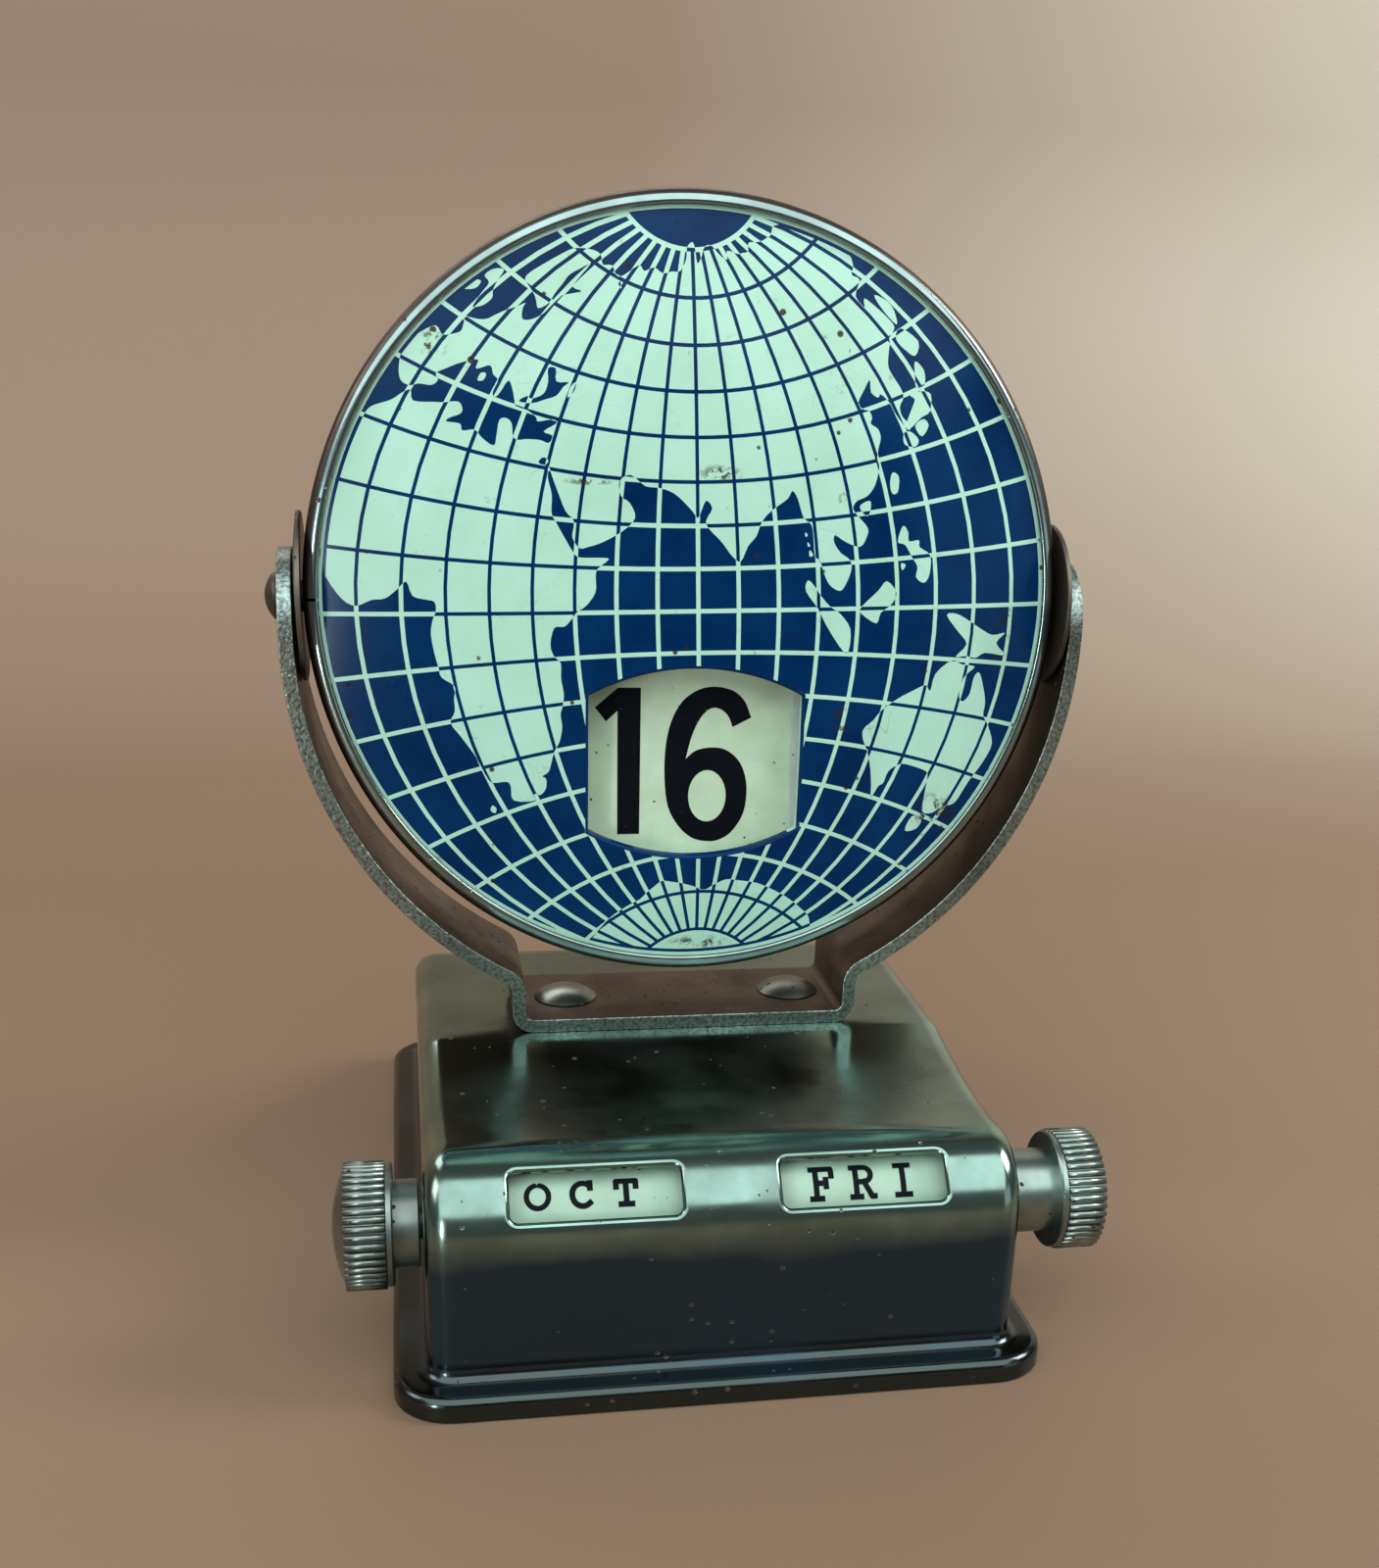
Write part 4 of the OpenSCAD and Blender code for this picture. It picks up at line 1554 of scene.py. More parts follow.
    def build(self, name: str) -> Piece:
        """Makes the printed face: ink regions on the dome, the turned window edge and the bare back.

        Args:
            name: Name of the piece.

        Returns:
            The piece.
        """
        drum = self.drum
        at = drum.surface(self.front)
        drop = -drum.window_drop if self.front else drum.window_drop
        rim = circle(drum.print_r + self.tuck, 240)
        regions = self.regions(rim, drum.window(drop, drum.window_roll))
        points, triangles = triangulate([loop for _, loop in regions], disc_grid(drum.print_r, 19, 0.5, 6))
        draft = Draft()
        for corners, owners in triangles:
            held = {regions[o][0] for o in owners}
            if Mark.FACE in held and Mark.WINDOW not in held:
                draft.lay([[points[c] for c in corners]], at, (0, 1, self.tone(held)))
        self.add_window_edge(draft, at, drop)
        self.add_back(draft, at, rim, drop)
        return draft.make(name, [drum.finishes.sea, drum.finishes.land, drum.finishes.inside])

    def add_window_edge(self, draft: Draft, at: Surface, drop: float) -> None:
        """Adds the edge of the date window, turned inwards, with cream ink on its right wall.

        Args:
            draft: Where the faces go.
            at: The domed face.
            drop: Height of the window's middle over the middle of the face.
        """
        drum, wall = self.drum, self.edge_steps
        loop = anticlockwise(drum.window(drop))
        rows = edge_rows(at, loop, False, drum.window_lip, drum.window_roll, wall)
        draft.strip(rows[: wall + 1], True, Tone.SEA)
        first = len(draft.faces)
        draft.strip(rows[wall : wall + 2], True, Tone.SEA)
        for number in range(first, len(draft.faces)):
            corners = [draft.points[c] for c in draft.faces[number]]
            x = sum(c.x for c in corners) / len(corners)
            if x > drum.window_w / 2 - drum.window_roll - self.cream_wall:
                draft.finishes[number] = Tone.LAND

    def add_back(self, draft: Draft, at: Surface, rim: list[Point], drop: float) -> None:
        """Adds the bare inner side of the face and joins it to the printed side.

        Args:
            draft: Where the faces go.
            at: The domed face.
            rim: Edge of the face.
            drop: Height of the window's middle over the middle of the face.
        """
        drum = self.drum
        patches = filled([rim, drum.window(drop, drum.face_t)], disc_grid(drum.print_r, 11, 1, 4))
        draft.lay(patches, at, (drum.face_t, -1, Tone.TIN))
        rows = [[], []]
        for p in rim:
            spot, t1, t2, n = at(*p)
            side = (t1 * p[0] + t2 * p[1]).normalized()
            rows[0].append((spot, side))
            rows[1].append((spot - n * drum.face_t, side))
        draft.strip(rows, True, Tone.TIN)


# Coasts are generalised, as (latitude, longitude)
OLD_WORLD = [
    (70.4, -1), (71.6, 4), (71.8, 9), (70.6, 14), (71.4, 18), (70.2, 24), (71, 27), (74, 31), (73.4, 36),
    (74.8, 41), (74.2, 48), (75, 54), (75.4, 60), (78, 64), (80.4, 64), (81.6, 70), (80.4, 73), (77.2, 74),
    (78.6, 79), (80.4, 84), (80.4, 92), (78, 96), (76.8, 100), (78.4, 104), (77, 110), (76.4, 118),
    (77.6, 124), (76.4, 132), (76, 140), (76.6, 148), (75.4, 156), (75, 162), (66, 162), (65.4, 157),
    (64, 154), (62.8, 151), (62, 147.5), (60.6, 148), (59, 141.6), (56.6, 140.8), (57.8, 143.4),
    (55.6, 144.2), (53, 144.6), (51, 144.2), (50, 140.4), (49.3, 139.6), (47.3, 136.3), (45.6, 134.4),
    (43.4, 134.2), (41.4, 134.4), (39.7, 133.8), (38.4, 131.6), (36.6, 131), (34.8, 132), (33.8, 131.2),
    (36, 130), (38, 129.4), (40, 129.2), (41.8, 128), (41.4, 126.8), (42.8, 125.6), (45, 127),
    (43.6, 123.8), (41.8, 120.6), (40.4, 121), (39.6, 122.6), (38.2, 122.6), (37.2, 121.6), (35.8, 123),
    (34, 122.8), (32.2, 121.2), (30.2, 120), (28.8, 120), (26.6, 118.6), (24.8, 117), (23.4, 114.8),
    (22.8, 112), (21.4, 110.6), (19.6, 111.6), (17, 113.6), (15, 113), (13.2, 111), (14.6, 107.4),
    (16.2, 105), (14.6, 104.6), (12.3, 106), (10.6, 108.2), (8.4, 108.4), (5.6, 107), (4, 105.4),
    (5.4, 102.8), (8.2, 101.4), (11, 100.6), (12, 99.4), (16.4, 99.4), (19, 99.2), (20.4, 97.6), (22.2, 97),
    (25, 96.5), (26.8, 95.4), (25.2, 93.9), (23.4, 90.3), (21.6, 87.6), (19.6, 86), (17.2, 84.8),
    (15, 82.6), (11.5, 80.6), (13, 78.4), (14.6, 77.2), (16.6, 75.6), (19.6, 72.6), (21.4, 72.2),
    (24, 73.8), (25.8, 72.3), (23.6, 71), (21.8, 70), (23.4, 68.6), (25.8, 66), (27.5, 63.5), (28.5, 60),
    (28.8, 56), (31, 52), (29.4, 49.2), (26.2, 50), (24.8, 52.4), (21.5, 54), (18.4, 51), (15.8, 46.4),
    (14.6, 43), (14.2, 40.8), (16.4, 38.9), (18.8, 39), (20.3, 38.6), (21.9, 36.5), (25.7, 33.9),
    (28.6, 31.8), (30.4, 30.4), (28, 30.9), (24.8, 32.6), (21.2, 33.2), (19.4, 34.5), (16.4, 36.9),
    (13.2, 39.4), (12.2, 41), (12.3, 46), (12, 48), (9.8, 45.4), (8, 45), (4.6, 45), (1.6, 42.8),
    (0.2, 40.6), (-1.8, 38.8), (-3, 37.3), (-3.2, 35), (-6.6, 33.8), (-9.2, 34.3), (-11, 35.8),
    (-14.4, 35.4), (-17.8, 35.5), (-20.4, 34.7), (-22.3, 33.7), (-25, 33.4), (-28, 31.9), (-30.2, 29.6),
    (-32.4, 27.9), (-34.2, 26.3), (-34.8, 24.2), (-35.6, 24.9), (-37.6, 23.7), (-38.6, 21.4), (-38, 19.8),
    (-39.4, 19), (-38, 13.6), (-35.3, 14.7), (-34, 14.4), (-33.5, 11.2), (-32.5, 10), (-27.7, 9.5),
    (-25.6, 8.8), (-22.9, 7.7), (-20.2, 6.5), (-18.3, 8.3), (-15.8, 9), (-13.6, 9.8), (-11.6, 7.2),
    (-10, 7), (-7.4, 6.6), (-3.6, 6.3), (-1, 7), (0.6, 7.8), (2.2, 7.5), (2.6, 5.4), (3.2, 2.6), (5.6, 1.2),
    (4.2, -0.8), (2.6, -3.5), (2.3, -6.5), (1.3, -10), (2.3, -13), (5.5, -16.5), (9.5, -19), (14, -19.6),
    (20, -19.8), (25.5, -19.6), (27.3, -17.4), (30, -16.7), (31.6, -16), (33.6, -12.5), (35.2, -11),
    (36.2, -9.4), (34.8, -7.6), (35.8, -3), (36.4, -0.5), (37.4, 2.7), (36.6, 4.5), (35.6, 4.6),
    (34.4, 2.6), (33.6, 2.2), (34, 5.6), (33, 6.8), (33.8, 9.6), (32.8, 12), (32, 15.5), (34, 15.3),
    (36.8, 14.6), (37.5, 16.2), (36.8, 18), (34.6, 19.4), (34.2, 21), (34.7, 22.8), (35.2, 26.4),
    (35, 28.9), (36.6, 29.3), (37, 26.7), (39.2, 29.4), (39.7, 28), (38.6, 24.4), (39.3, 23.5), (40, 21),
    (40.1, 19.4), (40.2, 17), (41, 16.3), (43, 14.2), (44, 12.2), (41.2, 11.6), (40.4, 10.7), (41.3, 9.8),
    (43.4, 9.6), (44, 7.6), (45.2, 5.6), (44, 3.4), (43.8, 2.4), (45.2, 1.6), (43.4, -2), (41.6, -4.4),
    (40.2, -6), (39.4, -4.6), (38.2, -5.4), (37.6, -8.4), (36.8, -10), (36.8, -12.5), (38, -14.5),
    (40.2, -16.5), (42, -17.5), (44.6, -16), (46.6, -14), (46, -10.8), (47, -8.4), (48, -7.3), (49.3, -8.3),
    (50.2, -9), (51, -5.5), (51.8, -3.6), (53.2, -2.4), (54.6, -1), (56.2, 1), (57.4, 2.3), (56.4, 2.8),
    (54.8, 5.2), (55.6, 7.8), (57.4, 9.6), (59.4, 10), (61.6, 10.4), (62.4, 11.4), (64.4, 15.6),
    (64.2, 11.4), (66.4, 10.4), (69.4, 9.2), (67.4, 7.4), (65.6, 6.4), (63.8, 7.2), (61.6, 7.8),
    (59.4, 8.6), (57.8, 7), (58.6, 4.8), (59.4, 2.4), (60, -1), (60.6, -4.5), (62, -5.3), (65.2, -4.5),
    (67, -4), (69.2, -3.2),
]
LAKES = [
    [(41.2, 17.4), (42.6, 19), (42.4, 20.4), (44, 23), (46.4, 22.8), (48.8, 21), (49.3, 23.2), (47, 25),
     (47.6, 28.6), (46.4, 27.6), (44.4, 26.7), (43, 24), (41.6, 21)],
    [(48, 30.6), (46.6, 29.6), (44.6, 30), (46.4, 31.2)],
    [(32, 28.4), (31.6, 30), (30.6, 29.4), (30.8, 27.6)],
    [(69.6, 27), (68.4, 30), (68.8, 27.6)],
]
OLD_WORLD_ISLANDS = [
    [(52.2, -9.8), (54.6, -11), (56.6, -12), (57, -15), (58.6, -15), (59.6, -12.4), (57.6, -10.6), (56, -9),
     (55, -7.3), (53.4, -7.5), (52.4, -8.8)],
    [(53.4, -16.2), (54.6, -13.6), (56, -14.2), (55.4, -16.6), (54, -17.2)],
    [(61.8, -17.4), (62.8, -15.4), (64.2, -16.6), (63, -18.6)],
    [(42, 4.6), (43.4, 4.4), (43.6, 5.8), (42.4, 6)],
    [(57.2, 147.2), (55, 149), (53, 148), (51.2, 145.4), (54.6, 145.4)],
    [(49.2, 142), (50.4, 145.6), (47, 147.6), (45.2, 144), (46.6, 142.4)],
    [(44.4, 142.8), (42.4, 143.6), (40.2, 141.4), (40.4, 138.8), (42.4, 140.4)],
    [(39.6, 136), (39.4, 139.6), (38.2, 141.6), (35.6, 139), (35.2, 136), (34, 131.6), (35, 131.2),
     (37.4, 134.8), (38.6, 136.6)],
    [(34.2, 133.4), (34.8, 136.4), (33.4, 137), (32, 134)],
    [(33.6, 129.6), (33.4, 131.6), (31.6, 132.8), (30.6, 131.2), (31.6, 128.6)],
    [(27, 123), (26, 124.4), (23.2, 123.2), (23, 121.6), (25, 121.6)],
    [(21.8, 112.6), (22.4, 115.4), (20.4, 115), (19.4, 114), (20.4, 112.8)],
    [(16.4, 122.8), (15, 123.9), (13.2, 123.8), (13.2, 126.4), (11.8, 126.4), (10, 128.9), (6.4, 128.4),
     (4.8, 126.9), (6, 124.9), (8, 125.4), (10, 124.2), (12.6, 122.7), (13.4, 120.9)],
    [(9, 121.2), (8.6, 122.4), (7.6, 121.4)],
    [(6.6, 97.3), (4.2, 96.8), (0.2, 99.8), (-4, 102.3), (-9.2, 106.6), (-9.2, 108.2), (-4.4, 108.2),
     (-1, 105.4), (0.5, 103), (3, 100.6), (5.5, 98.8)],
    [(0.3, 110.8), (3.6, 115), (5.6, 117.4), (3, 119.8), (0.6, 118.3), (-1, 115.8), (-3.2, 114.8),
     (-1.2, 111)],
    [(-1.6, 133), (-1.4, 135.6), (-2.8, 139.3), (-4, 142), (-5.2, 145.6), (-4.8, 149), (-6.6, 147),
     (-8.6, 149.8), (-8.4, 144.4), (-9.4, 142), (-9.2, 139.3), (-9.4, 136.6), (-7, 139), (-4.6, 136.2)],
    [(17.4, 97.4), (16.8, 98), (16.4, 97.4)],
    [(15.2, 97.8), (14.4, 98.4), (14.2, 97.8)],
    [(13.4, 98.2), (12.2, 99), (12, 98)],
    [(-37.6, 7.4), (-38.4, 8), (-39.2, 6.9), (-38.4, 6.2)],
    [(-10.2, 135.7), (-13, 132), (-16.4, 131.6), (-15.4, 130), (-16.6, 127.3), (-18.8, 123.3),
     (-21.6, 119.8), (-24, 118.2), (-26.2, 116.2), (-28.4, 117), (-31, 119.6), (-34.2, 122.2),
     (-37.4, 124.6), (-40, 126.6), (-37.4, 127), (-36.4, 128), (-34, 127.8), (-32.2, 129.6), (-31.6, 131.8),
     (-31.8, 138.2), (-32.8, 140), (-35.8, 141.8), (-39.2, 144.6), (-38.8, 147.8), (-37, 149.4),
     (-35.6, 152.4), (-31.4, 152.6), (-27, 153.8), (-23.8, 153.8), (-21, 150.6), (-19.4, 148.2),
     (-17.2, 147.6), (-14.4, 145.8), (-12, 143.8), (-13, 142.6), (-16, 142.6), (-17.6, 141.2),
     (-16.6, 139.8), (-14, 139.6), (-12.4, 140.6), (-11, 142.2), (-10.8, 138.6)],
    [(-40.8, 142.6), (-40.6, 146), (-42.6, 146.6), (-43.8, 143.6)],
    [(-39.8, 144.6), (-39.6, 146.2), (-40.2, 146.4)],
    [(-89.9, -19.9), (-70, -19.9), (-70.6, -6), (-69.4, 14), (-68.8, 34), (-66, 50), (-67.4, 60),
     (-69.6, 74), (-66.6, 86), (-66, 104), (-66.6, 124), (-67.4, 142), (-70.4, 159.9), (-89.9, 159.9)],
]
NEW_WORLD = [
    (65.6, -168), (68.4, -166), (71.2, -156.6), (70, -142), (69.4, -135), (70, -127), (68, -114),
    (67.8, -98), (71.6, -94.4), (69, -86), (66.4, -86), (63.6, -90), (60.6, -94.6), (57, -92), (55.2, -83),
    (51.4, -80), (55, -77), (59, -78), (62.4, -76), (60, -69.6), (60.2, -64.8), (56.4, -61.6),
    (52.6, -55.8), (50.2, -60), (50, -66.4), (47.4, -70), (48.8, -64.6), (46, -61.4), (43.6, -65.6),
    (44.6, -68), (41.8, -70.6), (40.6, -74), (36.6, -76), (32, -81), (29, -81), (25.4, -80.6), (28, -82.8),
    (30.2, -86), (29.2, -90.4), (29.4, -94.6), (25.6, -97.4), (22.2, -97.8), (18.6, -95), (18.4, -92.4),
    (21.2, -89.8), (21.2, -87), (16, -88.6), (15.6, -84.4), (11, -83.8), (9.2, -80), (8.6, -77),
    (11.2, -74.4), (12.2, -71.6), (10.6, -67), (10.4, -62), (6, -56), (4.2, -51.4), (-0.2, -50),
    (-2.8, -42), (-5.2, -35.4), (-8.6, -35), (-13, -38.8), (-20, -40.2), (-23, -43), (-25.8, -48.4),
    (-31, -51), (-34.4, -54), (-35.4, -57.2), (-38.4, -58.4), (-41, -63), (-45, -66), (-50, -68.4),
    (-54.6, -66), (-55.4, -68.8), (-52.6, -74), (-46.6, -75), (-42, -73.8), (-37, -73.4), (-30, -71.5),
    (-23, -70.5), (-18.2, -70.4), (-14, -76.2), (-6, -81), (-2.4, -80.4), (1.4, -79.4), (6.4, -77.6),
    (7.4, -80.6), (9.6, -85), (13, -87.8), (15.8, -94.6), (16.8, -100), (20.2, -105.6), (25, -108.4),
    (31.4, -113.4), (31, -114.8), (23.2, -109.6), (27.4, -114.4), (32.4, -117), (34.6, -120.6),
    (40.2, -124.4), (48.2, -124.6), (54.4, -130.6), (59, -138), (60.6, -146), (59.2, -152), (55, -162),
    (58.6, -158), (60.6, -165), (64.4, -161.4),
]
NEW_WORLD_ISLANDS = [
    [(60, -44), (64, -51.6), (69.6, -52), (75.6, -58.6), (77.6, -70), (81.8, -60), (83.4, -34), (81.4, -20),
     (72, -22), (68.2, -32), (64.8, -40.4)],
    [(62, -66), (66.4, -62), (70.4, -68), (73.4, -80), (73, -88), (69.8, -80), (66, -72.8), (63.8, -76)],
    [(76.6, -82), (81.8, -64), (82.8, -76), (80.6, -92)],
    [(69, -105), (72.8, -107), (72.6, -118), (69.2, -116)],
    [(71.4, -123), (74.2, -122), (73, -116)],
    [(76, -98), (77, -104), (75.2, -110), (75, -100)],
    [(21.9, -84.6), (23.2, -81.6), (20.2, -74.4), (21.6, -80)],
    [(19.8, -72.8), (18.6, -68.6), (18.2, -74)],
    [(51.4, -55.8), (47, -53), (47.6, -59)],
    [(50.6, -128), (48.4, -123.6), (49.4, -126.6)],
    [(20.2, -156), (19, -155.6), (19.8, -154.9)],
    [(-34.6, -187), (-37.8, -181.8), (-41.4, -184.8), (-39.2, -186.2)],
    [(-40.6, -187.2), (-43.6, -187), (-46.4, -191), (-44.4, -192)],
    [(60, -196), (60, -190), (62.5, -181), (65.4, -179), (64.4, -173), (66, -170), (68.4, -176), (70, -182),
     (69.6, -190), (70, -200), (64, -200)],
    [(-89.9, -199.9), (-78, -199.9), (-78, -168), (-74.6, -136), (-73, -104), (-72.6, -78), (-65, -62),
     (-63.6, -57), (-68.6, -64), (-75, -62), (-77.6, -40), (-73, -20.1), (-89.9, -20.1)],
]


# ---------- lettering


@dataclass(frozen=True)
class Glyph:
    """Pen strokes of a slab-serif capital on a 4 by 6 grid."""

    strokes: tuple[Stroke, ...]

    def loops(self, width: float, height: float, pen: float) -> list[list[Point]]:
        """Outlines of the strokes, centred.

        Args:
            width: Width of the letter.
            height: Height of the letter.
            pen: Width of the pen.

        Returns:
            Anticlockwise outlines, which overlap.
        """
        sx, sy = (width - pen) / 4, (height - pen) / 6
        result = []
        for stroke in self.strokes:
            line = [((x - 2) * sx, (y - 3) * sy) for x, y in stroke]
            if math.dist(line[0], line[-1]) < TINY:
                result.append(ribbon(line, pen))
            else:
                first, second, before, last = (Vector(line[k]) for k in (0, 1, -2, -1))
                start = first + (first - second).normalized() * pen / 2
                end = last + (last - before).normalized() * pen / 2
                full = [tuple(start)] + line[1:-1] + [tuple(end)]
                parts = [part for part in zip(full, full[1:]) if math.dist(*part) > TINY]
                result += [ribbon(subdivided(part, INK_STEP), pen) for part in parts]
            result += [circle(pen / 2, 10, x, y) for x, y in line[1:-1]]
        return result


def bowl(cx: float, cy: float, rx: float, ry: float, a0: float, a1: float, steps: int) -> Stroke:
    """Points of a round stroke on the letter grid."""
    angles = [math.radians(a0 + (a1 - a0) * k / steps) for k in range(steps + 1)]
    return tuple((cx + rx * math.cos(a), cy + ry * math.sin(a)) for a in angles)


def foot(x: float, y: float, half: float = 0.8) -> Stroke:
    """A slab serif."""
    return ((x - half, y), (x + half, y))


ALPHABET = {
    "A": Glyph((((0.5, 0), (2, 6)), ((2, 6), (3.5, 0)), ((1.1, 2.2), (2.9, 2.2)), foot(0.5, 0),
                foot(3.5, 0))),
    "B": Glyph((((0.7, 0), (0.7, 6)), ((0, 6), (2.2, 6)) + bowl(2.2, 4.6, 1.2, 1.4, 90, -90, 8)
                + ((0.7, 3.2),), ((2.4, 3.2),) + bowl(2.4, 1.6, 1.4, 1.6, 90, -90, 8) + ((0, 0),))),
    "C": Glyph((bowl(2.1, 3, 1.9, 3, 48, 312, 14), ((3.5, 6), (3.5, 4.6)))),
    "D": Glyph((((0.7, 0), (0.7, 6)), ((0, 6), (1.6, 6)) + bowl(1.6, 3, 2.2, 3, 90, -90, 12) + ((0, 0),))),
    "E": Glyph((((0.7, 0), (0.7, 6)), ((3.7, 4.6), (3.7, 6), (0, 6)), ((0.7, 3.1), (2.6, 3.1)),
                ((2.6, 2.4), (2.6, 3.8)), ((0, 0), (3.8, 0), (3.8, 1.5)))),
    "F": Glyph((((0.8, 0), (0.8, 6)), ((3.8, 4.5), (3.8, 6), (0, 6)), ((0.8, 3.1), (2.7, 3.1)),
                ((2.7, 2.4), (2.7, 3.8)), foot(0.9, 0, 0.9))),
    "G": Glyph((bowl(2.1, 3, 1.9, 3, 48, 325, 14), ((3.5, 6), (3.5, 4.6)), ((2.3, 2.5), (4.1, 2.5)),
                ((3.6, 2.5), (3.6, 1.1)))),
    "H": Glyph((((0.6, 0), (0.6, 6)), ((3.4, 0), (3.4, 6)), ((0.6, 3), (3.4, 3)), foot(0.6, 0),
                foot(3.4, 0), foot(0.6, 6), foot(3.4, 6))),
    "I": Glyph((((2, 0), (2, 6)), foot(2, 0, 1.2), foot(2, 6, 1.2))),
    "J": Glyph((((2.9, 6), (2.9, 1.5)) + bowl(1.7, 1.5, 1.2, 1.5, 0, -180, 8)[1:], foot(2.9, 6, 1))),
    "L": Glyph((((0.9, 0), (0.9, 6)), foot(0.9, 6, 0.9), ((0, 0), (3.7, 0), (3.7, 1.6)))),
    "M": Glyph((((0.4, 0), (0.4, 6)), ((0.4, 6), (2, 2.6), (3.6, 6)), ((3.6, 6), (3.6, 0)),
                foot(0.4, 0, 0.7), foot(3.6, 0, 0.7))),
    "N": Glyph((((0.6, 0), (0.6, 6)), ((0.6, 6), (3.4, 0)), ((3.4, 0), (3.4, 6)), foot(0.6, 0),
                foot(3.4, 6))),
    "O": Glyph((bowl(2, 3, 2, 3, 90, 450, 24),)),
    "P": Glyph((((0.8, 0), (0.8, 6)), ((0, 6), (2.4, 6)) + bowl(2.4, 4.4, 1.4, 1.6, 90, -90, 8)
                + ((0.8, 2.8),), foot(0.9, 0, 0.9))),
    "R": Glyph((((0.7, 0), (0.7, 6)), ((0, 6), (2.3, 6)) + bowl(2.3, 4.5, 1.3, 1.5, 90, -90, 8)
                + ((0.7, 3),), ((2.2, 3), (3.6, 0), (4.1, 0)), foot(0.7, 0, 0.8))),
    "S": Glyph((((3.4, 6), (3.4, 4.8)), bowl(2, 4.45, 1.6, 1.55, 30, 270, 10)
                + bowl(2, 1.5, 1.75, 1.4, 90, -150, 10), ((0.4, 0), (0.4, 1.3)))),
    "T": Glyph((((2, 0), (2, 6)), ((0.2, 4.5), (0.2, 6), (3.8, 6), (3.8, 4.5)), foot(2, 0, 1))),
    "U": Glyph((((0.6, 6), (0.6, 1.6)) + bowl(2, 1.6, 1.4, 1.6, 180, 360, 8)[1:] + ((3.4, 6),),
                foot(0.6, 6), foot(3.4, 6))),
    "V": Glyph((((0.5, 6), (2, 0)), ((2, 0), (3.5, 6)), foot(0.5, 6), foot(3.5, 6))),
    "W": Glyph((((0.3, 6), (1.1, 0)), ((1.1, 0), (2, 4)), ((2, 4), (2.9, 0)), ((2.9, 0), (3.7, 6)),
                foot(0.3, 6, 0.7), foot(3.7, 6, 0.7))),
    "Y": Glyph((((0.4, 6), (2, 3)), ((3.6, 6), (2, 3)), ((2, 3), (2, 0)), foot(0.4, 6, 0.7),
                foot(3.6, 6, 0.7), foot(2, 0, 1))),
}
MONTHS = ("JAN", "FEB", "MAR", "APR", "MAY", "JUN", "JUL", "AUG", "SEP", "OCT", "NOV", "DEC")
WEEKDAYS = ("SUN", "MON", "TUE", "WED", "THU", "FRI", "SAT")


@dataclass
class Roller:
    """A printed roller: a tube with words round it, one of them in the window."""

    finishes: Finishes
    name: str
    node: str
    words: Sequence[str]
    shown: str
    side: int
    middle: float
    angle: float
    letter_h: float
    pitch: float
    r: float = 7.1
    inner: float = 2.8
    outer: float = 25.1
    bore: float = 1.52
    letter_w: float = 2.55
    pen: float = 0.54
    ink_h: float = 0.02

    def build(self) -> Piece:
        """Makes the tube and its lettering as one piece.

        Returns:
            The piece.
        """
        draft = Draft()
        low, high = sorted((self.side * self.inner, self.side * self.outer))
        tube = [(self.bore, low), (self.r, low), (self.r, high), (self.bore, high)]
        turned(draft, tube, sideways(ROLLER_AXIS), 128)
        first = self.words.index(self.shown)
        for number, word in enumerate(self.words):
            turn = self.angle - 360 / len(self.words) * (number - first)
            for k, letter in enumerate(word):
                self.add_letter(draft, ALPHABET[letter], self.middle + (k - 1) * self.pitch, turn)
        return draft.make(self.name, [self.finishes.label, self.finishes.ink])

    def add_letter(self, draft: Draft, glyph: Glyph, x: float, turn: float) -> None:
        """Lays one letter on the tube.

        Args:
            draft: Where the faces go.
            glyph: The letter.
            x: Place of its middle along the roller.
            turn: Angle of its middle over the front, in degrees.
        """

        def at(u: float, v: float) -> Place:
            """Follows the ink.

            Args:
                u: Distance across the letter.
                v: Distance up the letter.

            Returns:
                The point, its two tangents and its normal.
            """
            a = math.radians(turn) + v / self.r
            n = Vector((0, -math.cos(a), math.sin(a)))
            p = Vector((x + u, *ROLLER_AXIS)) + n * (self.r + self.ink_h)
            return p, Vector((1, 0, 0)), Vector((0, math.sin(a), math.cos(a))), n

        points, triangles = triangulate(glyph.loops(self.letter_w, self.letter_h, self.pen))
        draft.lay([[points[c] for c in corners] for corners, owners in triangles if owners], at, (0, 1, 1))


